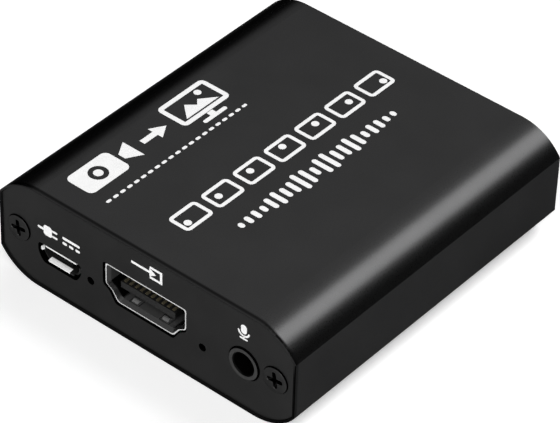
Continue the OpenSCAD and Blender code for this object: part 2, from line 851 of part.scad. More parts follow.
// Flat contacts that lie along a tongue, pass through its block and step down to the board
module contacts(places, w, tip, back, z) {
    bend = back + contact_t;
    for (x = places) along_x(x - w / 2, w) polygon([
        [tip, z], [tip, z + contact_t],
        [bend + contact_t, z + contact_t], [bend + contact_t, contact_t],
        [bend + contact_t + contact_foot, contact_t], [bend + contact_t + contact_foot, 0],
        [bend, 0], [bend, z]
    ]);
}

module video_contacts() {
    back = video_l - video_reach;
    tip = video_tongue_y - video_reach + 2 * contact_t;
    middle = video_axis + video_tongue_z;
    upper = [for (i = [0:video_pins - 1]) (i - (video_pins - 1) / 2) * video_pitch];
    lower = [for (i = [0:video_pins - 2]) (i - (video_pins - 2) / 2) * video_pitch];
    contacts(upper, video_pin_w, tip, back, middle + video_tongue_t / 2);
    contacts(lower, video_pin_w, tip, back, middle - video_tongue_t / 2 - contact_t);
}

// The mouth's flare is four tabs: the corners between them are cut back to the neck
module power_shell_body() {
    mouth = -power_reach;
    neck = mouth + power_flare_d;
    back = mouth + power_l;
    lip = power_outline(power_flare + shell_t, power_flare + shell_t);
    outer = power_outline(shell_t, shell_t);
    inner = power_outline(0, 0);
    lip_inner = power_outline(power_flare, power_flare);
    side_low = power_h / 2 - power_side_h / 2 - power_side_tab_h / 2;
    difference() {
        skin([
            ring(lip, mouth, power_axis), ring(outer, neck, power_axis),
            ring(outer, back, power_axis), ring(inner, back, power_axis),
            ring(inner, neck, power_axis), ring(lip_inner, mouth, power_axis)
        ]);
        translate([0, 0, power_axis]) along_y(mouth - over, power_flare_d + over) difference() {
            square([2 * power_w, 2 * power_h], center = true);
            translate([-power_tab_w / 2, 0]) square([power_tab_w, 2 * power_h]);
            translate([-power_foot_tab_w / 2, -2 * power_h]) square([power_foot_tab_w, 2 * power_h]);
            translate([-2 * power_w, side_low]) square([4 * power_w, power_side_tab_h]);
        }
    }
    power_legs();
}

module power_insulator_body() {
    back = power_l - power_reach;
    front = back - power_block_l;
    tip = power_tongue_y - power_reach;
    middle = power_axis + power_tongue_z;
    span = power_pins * power_pin_pitch;
    difference() {
        union() {
            translate([0, 0, power_axis]) along_y(front, power_block_l)
                polygon(power_outline(-insulator_gap, -insulator_gap));
            translate([-power_tongue_w / 2, tip, middle - power_tongue_t / 2])
                cube([power_tongue_w, front - tip + sink, power_tongue_t]);
        }
        translate([-span / 2, front - over, middle - power_tongue_t / 2 - contact_t])
            cube([span, power_block_l + 2 * over, contact_t]);
    }
}

module power_contacts_body() {
    back = power_l - power_reach;
    tip = power_tongue_y - power_reach + 2 * contact_t;
    places = [for (i = [0:power_pins - 1]) (i - (power_pins - 1) / 2) * power_pin_pitch];
    level = power_axis + power_tongue_z - power_tongue_t / 2 - contact_t;
    contacts(places, power_pin_w, tip, back, level);
}

module data_shell_body() {
    mouth = -data_reach;
    neck = mouth + data_flare_d;
    back = mouth + data_l;
    lip = data_outline(data_flare + shell_t, data_flare + shell_t);
    outer = data_outline(shell_t, shell_t);
    inner = data_outline(0, 0);
    lip_inner = data_outline(data_flare, data_flare);
    finger_y = neck + finger_cut;
    difference() {
        skin([
            ring(lip, mouth, data_axis), ring(outer, neck, data_axis),
            ring(outer, back, data_axis), ring(inner, back, data_axis),
            ring(inner, neck, data_axis), ring(lip_inner, mouth, data_axis)
        ]);
        finger_cuts(data_finger_w, data_finger_l, data_finger_x, finger_y, data_h, data_axis);
    }
    finger_bumps(data_finger_w, data_finger_x, finger_y, data_h, data_axis);
    data_legs();
}

// The block stands on two feet, and the contacts pass under its arch
module data_insulator_body() {
    back = data_l - data_reach;
    front = back - data_block_l;
    tip = data_tongue_y - data_reach;
    middle = data_axis + data_tongue_z;
    span = data_pins * data_pin_pitch;
    difference() {
        union() {
            translate([0, 0, data_axis]) along_y(front, data_block_l)
                polygon(data_outline(-insulator_gap, -insulator_gap));
            translate([-data_tongue_w / 2, tip, middle - data_tongue_t / 2])
                cube([data_tongue_w, front - tip + sink, data_tongue_t]);
        }
        translate([-span / 2, front - over, middle - data_tongue_t / 2 - data_h])
            cube([span, data_block_l + 2 * over, data_h]);
    }
}

module data_contacts_body() {
    back = data_l - data_reach;
    tip = data_tongue_y - data_reach + 2 * contact_t;
    places = [for (i = [0:data_pins - 1]) (i - (data_pins - 1) / 2) * data_pin_pitch];
    level = data_axis + data_tongue_z - data_tongue_t / 2 - contact_t;
    contacts(places, data_pin_w, tip, back, level);
}

module input_shell() {
    color("#b9bbbd") at_front(input_x) video_shell();
}

module input_insulator() {
    color("#1b1b1b") at_front(input_x) video_insulator();
}

module input_contacts() {
    color("#c9a24a") at_front(input_x) video_contacts();
}

module output_shell() {
    color("#b9bbbd") at_rear(-output_x) video_shell();
}

module output_insulator() {
    color("#1b1b1b") at_rear(-output_x) video_insulator();
}

module output_contacts() {
    color("#c9a24a") at_rear(-output_x) video_contacts();
}

module power_shell() {
    color("#c4c6c8") at_front(power_x) power_shell_body();
}

module power_insulator() {
    color("#1b1b1b") at_front(power_x) power_insulator_body();
}

module power_contacts() {
    color("#c9a24a") at_front(power_x) power_contacts_body();
}

module data_shell() {
    color("#c4c6c8") at_rear(data_x) data_shell_body();
}

module data_insulator() {
    color("#1b1b1b") at_rear(data_x) data_insulator_body();
}

module data_contacts() {
    color("#c9a24a") at_rear(data_x) data_contacts_body();
}

// Pegs under a jack's housing
module jack_pegs(grow = 0) {
    for (y = peg_y) translate([0, y, -peg_l]) cylinder(d = peg_d + 2 * grow, h = peg_l + sink);
}

// Housing of a jack: the nose passes through the end plate
module jack_housing() {
    window_x = jack_bore_d / 2 - spring_gap;
    difference() {
        union() {
            translate([-jack_w / 2, 0, 0]) cube([jack_w, jack_l, jack_h]);
            translate([0, sink, jack_axis]) rotate([90, 0, 0])
                cylinder(d = jack_nose_d, h = jack_reach + sink);
            jack_pegs();
        }
        translate([0, -jack_reach, jack_axis]) rotate([-90, 0, 0]) {
            translate([0, 0, -over]) cylinder(d = jack_bore_d, h = jack_bore_l + over);
            cylinder(d1 = jack_rim_d, d2 = jack_bore_d, h = (jack_rim_d - jack_bore_d) / 2);
        }
        for (place = jack_springs) mirror([place[0] < 0 ? 1 : 0, 0, 0]) {
            translate([window_x, place[1], jack_axis - spring_h / 2 - spring_gap])
                cube([jack_w, spring_l + 2 * spring_gap, spring_h + 2 * spring_gap]);
            translate([jack_w / 2 - spring_t - spring_gap, place[1], -over])
                cube([jack_w, spring_l + 2 * spring_gap, jack_axis + over]);
        }
    }
}

// Leaf springs beside the bore, each with a terminal that comes down to the board
module jack_leaves() {
    leaf_x = jack_bore_d / 2 + spring_gap;
    out_x = jack_w / 2;
    for (place = jack_springs) mirror([place[0] < 0 ? 1 : 0, 0, 0])
        translate([0, place[1] + spring_gap, 0]) {
            translate([0, 0, jack_axis - spring_h / 2]) linear_extrude(spring_h) polygon([
                [leaf_x, 0], [leaf_x + spring_t, 0], [leaf_x + spring_t, spring_l - spring_t],
                [out_x, spring_l - spring_t], [out_x, spring_l], [leaf_x, spring_l]
            ]);
            translate([out_x - spring_t, spring_l - leg_w, 0])
                cube([spring_t, leg_w, jack_axis + spring_h / 2]);
        }
}

module mic_jack() {
    color("#2a2a2a") at_front(mic_x) jack_housing();
}

module mic_jack_springs() {
    color("#d0d2d4") at_front(mic_x) jack_leaves();
}

module sound_jack() {
    color("#2a2a2a") at_rear(sound_x) jack_housing();
}

module sound_jack_springs() {
    color("#d0d2d4") at_rear(sound_x) jack_leaves();
}

// Side-looking indicator with a domed lens that faces its hole in the plate
module indicator() {
    lens_r = (pow(led_lens_d / 2, 2) + pow(led_lens_h, 2)) / (2 * led_lens_h);
    translate([-led_w / 2, led_lens_h, 0]) cube([led_w, led_d, led_h]);
    translate([0, led_lens_h + sink, led_axis]) rotate([90, 0, 0]) rotate_extrude()
        intersection() {
            square([led_lens_d / 2, led_lens_h + sink]);
            translate([0, led_lens_h + sink - lens_r]) circle(lens_r);
        }
}

module power_led() {
    color("#e8e4dc") at_front(power_led_x) indicator();
}

module signal_led() {
    color("#e8e4dc") at_front(signal_led_x) indicator();
}

// Gull-wing lead that leaves a body at X = 0 at the given height
module lead(w, height) {
    knee = lead_knee;
    foot = lead_reach - lead_foot;
    translate([0, w / 2, 0]) rotate([90, 0, 0]) linear_extrude(w) polygon([
        [-sink, height], [knee, height], [foot, lead_t], [lead_reach, lead_t],
        [lead_reach, 0], [foot - lead_t, 0], [knee - lead_t, height - lead_t],
        [-sink, height - lead_t]
    ]);
}

module lead_row(count, pitch, w, height) {
    for (i = [0:count - 1])
        translate([0, (i - (count - 1) / 2) * pitch, 0]) lead(w, height);
}

// Moulded body with a round mark at its first lead
module chip_body(w, l, t, lift) {
    difference() {
        translate([-w / 2, -l / 2, lift]) cube([w, l, t - lift]);
        translate([chip_mark_in - w / 2, chip_mark_in - l / 2, t - chip_mark_depth])
            cylinder(d = chip_mark_d, h = chip_mark_depth + over);
    }
}

module splitter_chip() {
    color("#26272a") on_board(splitter_at) {
        chip_body(splitter_w, splitter_w, splitter_t, chip_lift);
        for (turn = [0:90:270]) rotate(turn) translate([splitter_w / 2, 0, 0])
            lead_row(splitter_leads, splitter_pitch, splitter_lead_w, splitter_t / 2 + lead_t);
    }
}

// Leadless chip: its pads show as a row of notches along each lower edge
module capture_chip() {
    color("#26272a") on_board(capture_at) difference() {
        chip_body(capture_w, capture_w, capture_t, 0);
        for (turn = [0:90:270], i = [0:capture_pads - 1])
            rotate(turn)
                translate([capture_w / 2, (i - (capture_pads - 1) / 2) * capture_pitch, 0])
                    cube([2 * capture_notch_depth, capture_notch, 2 * capture_notch], center = true);
    }
}

module memory_chip() {
    color("#26272a") on_board(memory_at) {
        chip_body(memory_w, memory_l, memory_t, chip_lift);
        for (turn = [0, 180]) rotate(turn) translate([memory_w / 2, 0, 0])
            lead_row(memory_leads, memory_pitch, memory_lead_w, memory_t / 2 + lead_t);
    }
}

module regulators() {
    color("#26272a") for (place = regulators_at) on_board(place) {
        translate([-regulator_l / 2, -regulator_w / 2, chip_lift])
            cube([regulator_l, regulator_w, regulator_t - chip_lift]);
        rotate(-90) translate([regulator_w / 2, 0, 0])
            lead_row(regulator_leads, regulator_pitch, regulator_lead_w, regulator_t / 2);
        rotate(90) translate([regulator_w / 2, 0, 0]) lead(regulator_tab_w, regulator_t / 2);
    }
}

// Flat-sided metal can with round ends
module can_outline(l, w) {
    square([l - w, w], center = true);
    for (side = [-1, 1]) translate([side * (l - w) / 2, 0]) circle(d = w);
}

module crystals() {
    color("#b4b6b8") for (place = crystals_at) on_board(place) rotate(90) {
        linear_extrude(crystal_h) can_outline(crystal_l, crystal_w);
        linear_extrude(crystal_rim_t)
            can_outline(crystal_l + 2 * crystal_rim, crystal_w + 2 * crystal_rim);
    }
}

module can_capacitors() {
    base = can_base;
    c = can_corner;
    groove = can_groove;
    color("#a8aaae") for (place = cans_at) on_board(place) {
        linear_extrude(can_base_t) polygon([
            [-base / 2, -base / 2], [base / 2 - c, -base / 2], [base / 2, c - base / 2],
            [base / 2, base / 2 - c], [base / 2 - c, base / 2], [-base / 2, base / 2]
        ]);
        rotate_extrude() polygon([
            [0, can_base_t - sink], [can_d / 2, can_base_t - sink],
            [can_d / 2, can_base_t + groove], [can_d / 2 - groove, can_base_t + 2 * groove],
            [can_d / 2, can_base_t + 3 * groove], [can_d / 2, can_h - groove],
            [can_d / 2 - groove, can_h], [0, can_h]
        ]);
    }
}

module choke() {
    half = choke_w / 2;
    c = choke_corner;
    color("#3a3a3c") on_board(choke_at) difference() {
        linear_extrude(choke_h) polygon([
            [c - half, -half], [half - c, -half], [half, c - half], [half, half - c],
            [half - c, half], [c - half, half], [-half, half - c], [-half, c - half]
        ]);
        translate([0, 0, choke_h - choke_hollow])
            cylinder(d = choke_hollow_d, h = choke_hollow + over);
    }
}

module part_rows(rows, t) {
    for (row = rows, i = [0:row[2] - 1])
        on_board([row[0] + (i - (row[2] - 1) / 2) * chip_part_pitch, row[1]])
            translate([-chip_part_w / 2, -chip_part_l / 2, 0])
                cube([chip_part_w, chip_part_l, t]);
}

module chip_capacitors() {
    color("#8d7658") part_rows(cap_rows, chip_cap_t);
}

module chip_resistors() {
    color("#2c2c2e") part_rows(resistor_rows, chip_res_t);
}

sleeve();
front_plate();
rear_plate();
front_screws();
rear_screws();
main_board();
input_shell();
input_insulator();
input_contacts();
output_shell();
output_insulator();
output_contacts();
power_shell();
power_insulator();
power_contacts();
data_shell();
data_insulator();
data_contacts();
mic_jack();
mic_jack_springs();
sound_jack();
sound_jack_springs();
power_led();
signal_led();
splitter_chip();
capture_chip();
memory_chip();
regulators();
crystals();
can_capacitors();
choke();
chip_capacitors();
chip_resistors();
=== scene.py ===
# Looks of the video capture box: finishes, finer screws, printed marks, floor, light and camera.
import json
import math
import bmesh
import bpy
from mathutils import Euler, Matrix, Quaternion, Vector


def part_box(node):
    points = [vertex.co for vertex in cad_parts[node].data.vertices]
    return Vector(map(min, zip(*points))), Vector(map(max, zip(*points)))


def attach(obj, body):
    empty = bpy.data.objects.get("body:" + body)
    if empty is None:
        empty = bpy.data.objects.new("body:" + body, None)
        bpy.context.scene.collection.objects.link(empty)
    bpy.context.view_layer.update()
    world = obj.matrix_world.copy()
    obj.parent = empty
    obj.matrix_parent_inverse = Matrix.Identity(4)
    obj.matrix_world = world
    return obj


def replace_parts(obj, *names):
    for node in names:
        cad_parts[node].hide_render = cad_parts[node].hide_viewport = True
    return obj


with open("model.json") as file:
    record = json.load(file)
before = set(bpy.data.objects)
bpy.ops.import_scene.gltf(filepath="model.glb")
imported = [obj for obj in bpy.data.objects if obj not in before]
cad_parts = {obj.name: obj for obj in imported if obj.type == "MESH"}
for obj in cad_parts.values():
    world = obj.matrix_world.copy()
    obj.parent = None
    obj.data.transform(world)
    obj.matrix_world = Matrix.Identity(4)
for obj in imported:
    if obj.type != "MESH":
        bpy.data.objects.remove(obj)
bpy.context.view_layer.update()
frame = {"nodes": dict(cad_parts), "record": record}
parts = frame["nodes"]
mm = 0.001
print("frame:", len(parts), "parts loaded")


# Places of parts

weldDistance = 0.001 * mm


def middleOf(name):
    low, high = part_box(name)
    return (low + high) / 2


def solidsOf(name):  # lowest and highest corners of each separate solid of a part
    work = bmesh.new()
    work.from_mesh(parts[name].data)
    bmesh.ops.remove_doubles(work, verts=work.verts[:], dist=weldDistance)
    boxes, seen = [], set()
    for first in work.verts:
        if first in seen:
            continue
        seen.add(first)
        waiting, points = [first], []
        while waiting:
            corner = waiting.pop()
            points.append(corner.co.copy())
            for edge in corner.link_edges:
                other = edge.other_vert(corner)
                if other not in seen:
                    seen.add(other)
                    waiting.append(other)
        boxes.append((Vector([min(p[i] for p in points) for i in range(3)]),
                      Vector([max(p[i] for p in points) for i in range(3)])))
    work.free()
    return sorted(boxes, key=lambda box: tuple(box[0]))


# Node helpers

noiseSpan = (0.3, 0.7)  # nearly all values of a noise lie in it


def startMaterial(name):
    material = bpy.data.materials.new(name)
    material.use_nodes = True
    tree = material.node_tree
    return material, tree, tree.nodes["Principled BSDF"]


def addNode(tree, kind, inputs=None, **settings):
    node = tree.nodes.new(kind)
    for key, value in settings.items():
        setattr(node, key, value)
    for key, value in (inputs or {}).items():
        if isinstance(value, bpy.types.NodeSocket):
            tree.links.new(value, node.inputs[key])
        else:
            node.inputs[key].default_value = value
    return node


def objectPlace(tree):  # metres, in the box's own frame
    return addNode(tree, "ShaderNodeTexCoord").outputs["Object"]


def stretched(tree, place, scale):
    return addNode(tree, "ShaderNodeMapping", {"Vector": place, "Scale": scale}).outputs["Vector"]


def along(tree, vector, axis):
    return addNode(tree, "ShaderNodeSeparateXYZ", {"Vector": vector}).outputs[axis]


def reckon(tree, operation, first, second=0.0):
    return addNode(tree, "ShaderNodeMath", {0: first, 1: second}, operation=operation).outputs["Value"]


def noise(tree, place, scale, detail=2.0):
    inputs = {"Vector": place, "Scale": scale, "Detail": detail}
    return addNode(tree, "ShaderNodeTexNoise", inputs).outputs["Fac"]


def ramp(tree, value, low, high, span=noiseSpan):
    inputs = {"Value": value, "From Min": span[0], "From Max": span[1], "To Min": low, "To Max": high}
    return addNode(tree, "ShaderNodeMapRange", inputs).outputs["Result"]


def blendColours(tree, factor, first, second):
    node = addNode(tree, "ShaderNodeMix", data_type="RGBA")
    tree.links.new(factor, node.inputs["Factor"])
    for name, colour in (("A", first), ("B", second)):
        target = [s for s in node.inputs if s.name == name and s.type == "RGBA"][0]
        if isinstance(colour, bpy.types.NodeSocket):
            tree.links.new(colour, target)
        else:
            target.default_value = (*colour, 1)
    return [s for s in node.outputs if s.type == "RGBA"][0]


def grey(level):
    return (level, level, level)


# Masks: 1 where a part takes another of its looks.
# A span is a pair: where a mask starts to change, and where it is done.

fineEdge = 0.01 * mm
squareOn = (0.8, 0.95)  # share of a normal along an axis, on faces that look along it
slanting = (0.4, 0.7)


def rising(tree, value, span):
    return ramp(tree, value, 0, 1, span)


def falling(tree, value, span):
    return ramp(tree, value, 1, 0, span)


def combined(tree, operation, masks):
    result = masks[0]
    for mask in masks[1:]:
        result = reckon(tree, operation, result, mask)
    return result


def allOf(tree, *masks):
    return combined(tree, "MULTIPLY", masks)


def anyOf(tree, *masks):
    return combined(tree, "MAXIMUM", masks)


def opposite(tree, mask):
    return reckon(tree, "SUBTRACT", 1.0, mask)


def trueNormal(tree):
    return addNode(tree, "ShaderNodeNewGeometry").outputs["True Normal"]


def normalAlong(tree, axis):
    return along(tree, trueNormal(tree), axis)


def facing(tree, axis, span):  # 1 on faces that look along an axis, either way
    return rising(tree, reckon(tree, "ABSOLUTE", normalAlong(tree, axis)), span)


def cutWalls(tree, place):  # faces that don't look forward or back
    return opposite(tree, facing(tree, "Y", slanting))


def forward(tree, place):  # distance from the middle, towards the front
    return reckon(tree, "MULTIPLY", along(tree, place, "Y"), -1.0)


def reach(tree, place):  # distance from the middle, towards either end plate
    return reckon(tree, "ABSOLUTE", along(tree, place, "Y"))


def beyond(tree, value, middle, half):  # 1 further than this from the middle
    away = reckon(tree, "ABSOLUTE", reckon(tree, "SUBTRACT", value, middle))
    return rising(tree, away, (half, half + fineEdge))


def within(tree, value, middle, half):
    return opposite(tree, beyond(tree, value, middle, half))


# Finishes

plainGloss = 0.5  # for looks that name none
grainDetail = 3


def colourAndGrain(tree, shader, look, dark, light, masks):
    place = objectPlace(tree)
    grainPlace = stretched(tree, place, look["streak"]) if "streak" in look else place
    grain = noise(tree, grainPlace, 1 / look["grain"], grainDetail)
    cloud = noise(tree, place, 1 / look["cloud"])
    colour = blendColours(tree, ramp(tree, cloud, 0, 1), dark, light)
    metal = shader.inputs["Metallic"].default_value
    for key, mask in masks.items():
        share = mask(tree, place)
        colour = blendColours(tree, share, colour, look[key])
        if key + "Metal" in look:
            metal = ramp(tree, share, metal, look[key + "Metal"], (0, 1))
    if isinstance(metal, bpy.types.NodeSocket):
        tree.links.new(metal, shader.inputs["Metallic"])
    tree.links.new(colour, shader.inputs["Base Color"])
    change = look["roughness"] * look["roughChange"]
    roughness = ramp(tree, grain, look["roughness"] - change, look["roughness"] + change)
    tree.links.new(roughness, shader.inputs["Roughness"])
    bump = {"Height": grain, "Strength": look["bump"], "Distance": look["bumpDepth"]}
    tree.links.new(addNode(tree, "ShaderNodeBump", bump).outputs["Normal"], shader.inputs["Normal"])


def finished(name, look, dark, light, metal, masks):
    material, tree, shader = startMaterial(name)
    shader.inputs["Metallic"].default_value = metal
    shader.inputs["Specular IOR Level"].default_value = look.get("gloss", plainGloss)
    colourAndGrain(tree, shader, look, dark, light, masks)
    return material, shader


def anodised(name, look, **masks):
    dark = [c * (1 - look["change"]) for c in look["colour"]]
    light = [c * (1 + look["change"]) for c in look["colour"]]
    material, shader = finished(name, look, dark, light, 1, masks)
    shader.inputs["Specular Tint"].default_value = (*look["edge"], 1)
    return material


def platedMetal(name, look, **masks):
    return finished(name, look, look["dark"], look["light"], look.get("metal", 1), masks)[0]


def moulded(name, look, **masks):
    return finished(name, look, look["dark"], look["light"], 0, masks)[0]


def dress(material, *names):
    for name in names:
        parts[name].data.materials.clear()
        parts[name].data.materials.append(material)


# Sleeve

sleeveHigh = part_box("sleeve")[1]
sleeveLook = {
    "colour": (0.05, 0.05, 0.0504), "change": 0.04, "edge": grey(0.25), "gloss": 0.12,
    # second to fifth are painted shades: the band at the front end, the inner walls, the foot bevel and the
    # upper rim bevel
    "second": grey(0.0015), "third": grey(0.009), "fourth": grey(0.001), "fifth": grey(0.019),
    "thirdMetal": 0.0, "fifthMetal": 0.0,
    "roughness": 0.29, "roughChange": 0.1, "grain": 0.12 * mm, "cloud": 9 * mm,
    "bump": 0.12, "bumpDepth": 0.004 * mm,
    "band": (sleeveHigh.y - 1.0 * mm, sleeveHigh.y - 0.7 * mm),
    "rightFaces": (0.1, 0.4), "rightShift": 0.27 * mm, "otherSpared": 0.27,
    "fade": (sleeveHigh.y - 0.48 * mm, sleeveHigh.y - 0.08 * mm), "fadeSpared": 0.8, "topFaces": (0.6, 0.9),
    "upperRim": (sleeveHigh.z - 6 * mm, sleeveHigh.z - 3 * mm),
    "sideFaces": (0.55, 0.75), "sideSpared": 0.72,
    "bevel": (0.5, 0.65), "upperBevel": (0.3, 0.4),
    "lowerFaces": (-0.6, -0.4), "lowerBevel": (0.3, 0.5),
    "inward": (-6 * mm, -4 * mm),
}


def frontEndShade(tree, place):  # painted shade: a dark band along the cut front end; each spared share takes some of it away
    look = sleeveLook
    ahead = forward(tree, place)
    right = rising(tree, normalAlong(tree, "X"), look["rightFaces"])
    others = opposite(tree, right)
    bandPlace = reckon(tree, "SUBTRACT", ahead, allOf(tree, right, look["rightShift"]))
    fade = ramp(tree, ahead, 0, look["fadeSpared"], look["fade"])
    topEdge = allOf(tree, fade, others, rising(tree, normalAlong(tree, "Z"), look["topFaces"]))
    otherFaces = allOf(tree, others, look["otherSpared"])
    upper = rising(tree, along(tree, place, "Z"), look["upperRim"])
    upperRim = allOf(tree, upper, facing(tree, "Y", squareOn))
    sideWalls = allOf(tree, facing(tree, "X", look["sideFaces"]), look["sideSpared"], cutWalls(tree, place))
    spared = [opposite(tree, share) for share in (topEdge, otherFaces, upperRim, sideWalls)]
    return allOf(tree, rising(tree, bandPlace, look["band"]), *spared)


def innerRimShade(tree, place):  # painted shade: walls that look towards the sleeve's own axis are darker and matt
    height = reckon(tree, "SUBTRACT", along(tree, place, "Z"), sleeveHigh.z / 2)
    sideways = allOf(tree, normalAlong(tree, "X"), along(tree, place, "X"))
    upright = allOf(tree, normalAlong(tree, "Z"), height)
    return falling(tree, reckon(tree, "ADD", sideways, upright), sleeveLook["inward"])


def lowerEdgeShade(tree, place):  # painted shade on the small bevel along the foot of the rim
    low = falling(tree, normalAlong(tree, "Z"), sleeveLook["lowerFaces"])
    return allOf(tree, low, facing(tree, "Y", sleeveLook["lowerBevel"]))


def rimEdgeShade(tree, place):  # the bevel round the upper part of the front rim, painted darker and matt: painted shade that takes its highlight away
    front = rising(tree, forward(tree, place), sleeveLook["band"])
    bevel = allOf(tree, facing(tree, "Y", sleeveLook["bevel"]), opposite(tree, facing(tree, "Y", squareOn)))
    return allOf(tree, front, bevel, rising(tree, normalAlong(tree, "Z"), sleeveLook["upperBevel"]))


sleeveMasks = {"second": frontEndShade, "third": innerRimShade, "fourth": lowerEdgeShade, "fifth": rimEdgeShade}
dress(anodised("blackAnodisedSleeve", sleeveLook, **sleeveMasks), "sleeve")

# End plates

plateLook = {
    "colour": (0.0565, 0.0565, 0.0565), "change": 0.05, "edge": grey(0.23), "second": grey(0.004),
    "roughness": 0.42, "roughChange": 0.08, "grain": 0.1 * mm, "cloud": 6 * mm,
    "bump": 0.12, "bumpDepth": 0.004 * mm,
}
# The cut walls of the holes take a near black colour: painted shade.
dress(anodised("blackAnodisedPlate", plateLook, second=cutWalls), "front_plate", "rear_plate")

# Shells of the video sockets and the data socket

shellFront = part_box("output_shell")[1].y  # all three reach as far
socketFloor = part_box("output_insulator")[0].z
shellLook = {
    "dark": grey(0.86), "light": grey(0.95), "metal": 0.5, "gloss": 0.1,
    # second is painted shade behind the lip crest, third darker painted shade on the slanted walls, fourth
    # painted highlights on the finger bumps
    "second": grey(0.048), "secondMetal": 0.0, "third": grey(0.0004), "fourth": grey(0.136),
    "roughness": 0.35, "roughChange": 0.3, "streak": (1, 0.12, 1), "grain": 0.08 * mm, "cloud": 1.5 * mm,
    "bump": 0.06, "bumpDepth": 0.002 * mm,
    "lip": (shellFront - 0.1 * mm, shellFront - 0.05 * mm),
    "lipRound": 0.15 * mm, "lipSamples": 8, "lipFlat": (0.9, 0.97),
    "slant": (0.2, 0.35), "slantDepth": (shellFront - 0.8 * mm, shellFront - 0.5 * mm), "slantNear": 0.82,
    "bumpLow": (socketFloor - 0.01 * mm, socketFloor + 0.02 * mm),
    "bumpHigh": (socketFloor + 0.41 * mm, socketFloor + 0.44 * mm), "bumpHalf": 3.8 * mm,
    "frontToRear": (-1 * mm, 1 * mm),
}


def shadeBehindLip(tree, place):  # painted shade over all of a shell but a thin line on the crest of its lip; that line keeps the bright plating and stands for the highlight on a rolled edge, a painted highlight
    look = shellLook
    rounded = addNode(tree, "ShaderNodeBevel", {"Radius": look["lipRound"]}, samples=look["lipSamples"])
    normals = {0: trueNormal(tree), 1: rounded.outputs["Normal"]}
    likeness = addNode(tree, "ShaderNodeVectorMath", normals, operation="DOT_PRODUCT").outputs["Value"]
    crest = allOf(tree, facing(tree, "Y", squareOn), rising(tree, reach(tree, place), look["lip"]),
                  rising(tree, likeness, look["lipFlat"]))
    return opposite(tree, crest)


def slantedWallShade(tree, place):  # painted shade: the slanting lower walls of a video socket, darker further in
    slant = reckon(tree, "ABSOLUTE", allOf(tree, normalAlong(tree, "X"), normalAlong(tree, "Z")))
    depth = ramp(tree, reach(tree, place), 1, shellLook["slantNear"], shellLook["slantDepth"])
    walls = opposite(tree, facing(tree, "Y", squareOn))
    return allOf(tree, rising(tree, slant, shellLook["slant"]), depth, walls)


def fingerBumpHighlights(tree, place):  # painted highlight: the bumps of the spring fingers in the floor of a video socket, lighter than the painted shade round them
    height = along(tree, place, "Z")
    middles = [middleOf(name).x for name in ("input_shell", "output_shell")]
    middle = ramp(tree, along(tree, place, "Y"), *middles, shellLook["frontToRear"])
    near = within(tree, along(tree, place, "X"), middle, shellLook["bumpHalf"])
    return allOf(tree, rising(tree, height, shellLook["bumpLow"]),
                 falling(tree, height, shellLook["bumpHigh"]), near)


videoMasks = {"second": shadeBehindLip, "third": slantedWallShade, "fourth": fingerBumpHighlights}
dress(platedMetal("videoShellPlate", shellLook, **videoMasks), "input_shell", "output_shell")
dress(platedMetal("dataShellPlate", shellLook, second=shadeBehindLip), "data_shell")

# Shell of the power socket

powerFront = -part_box("power_shell")[0].y
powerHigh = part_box("power_shell")[1]
powerShellLook = {
    # second is painted shade; the white that the tabs and foot keep stands for lit metal
    "dark": grey(0.94), "light": grey(0.98), "metal": 0.0, "second": grey(0.0048), "secondMetal": 0.0,
    "roughness": 0.5, "roughChange": 0.2, "streak": (1, 0.12, 1), "grain": 0.08 * mm, "cloud": 1.5 * mm,
    "bump": 0.06, "bumpDepth": 0.002 * mm,
    "tabStart": (powerFront - 0.41 * mm, powerFront - 0.38 * mm),
    "tabLow": (powerHigh.z - 1.175 * mm, powerHigh.z - 1.145 * mm),
    "tabRight": (powerHigh.x - 0.7 * mm, powerHigh.x - 0.65 * mm),
    "footStart": (powerFront - 0.8 * mm, powerFront - 0.7 * mm),
    "footTop": (powerHigh.z - 1.975 * mm, powerHigh.z - 1.925 * mm),
    "footShift": -0.35 * mm, "footHalf": 2.05 * mm,
}


def shadeBehindTabs(tree, place):  # painted shade over all of the power shell but its flared tabs and the front of its foot, which stay white as painted highlights
    look = powerShellLook
    across, height, ahead = along(tree, place, "X"), along(tree, place, "Z"), reach(tree, place)
    tabs = allOf(tree, rising(tree, ahead, look["tabStart"]), rising(tree, height, look["tabLow"]),
                 falling(tree, across, look["tabRight"]))
    footMiddle = middleOf("power_shell").x + look["footShift"]
    foot = allOf(tree, rising(tree, ahead, look["footStart"]), falling(tree, height, look["footTop"]),
                 within(tree, across, footMiddle, look["footHalf"]))
    return opposite(tree, anyOf(tree, tabs, foot))


dress(platedMetal("powerShellPlate", powerShellLook, second=shadeBehindTabs), "power_shell")

# Contacts, springs, insulators and indicators

contactLook = {
    "dark": (0.23, 0.2, 0.13), "light": (0.3, 0.26, 0.17), "metal": 0.75,
    "roughness": 0.28, "roughChange": 0.3, "streak": (1, 0.2, 1), "grain": 0.05 * mm, "cloud": 0.8 * mm,
    "bump": 0.05, "bumpDepth": 0.002 * mm,
}
springLook = {
    "dark": grey(0.5), "light": grey(0.62),
    "roughness": 0.3, "roughChange": 0.3, "streak": (1, 0.2, 1), "grain": 0.06 * mm, "cloud": 1 * mm,
    "bump": 0.05, "bumpDepth": 0.002 * mm,
}
insulatorLook = {
    "dark": grey(0.0048), "light": grey(0.0088), "gloss": 0.28,
    "roughness": 0.5, "roughChange": 0.12, "grain": 0.06 * mm, "cloud": 2 * mm,
    "bump": 0.15, "bumpDepth": 0.003 * mm,
}
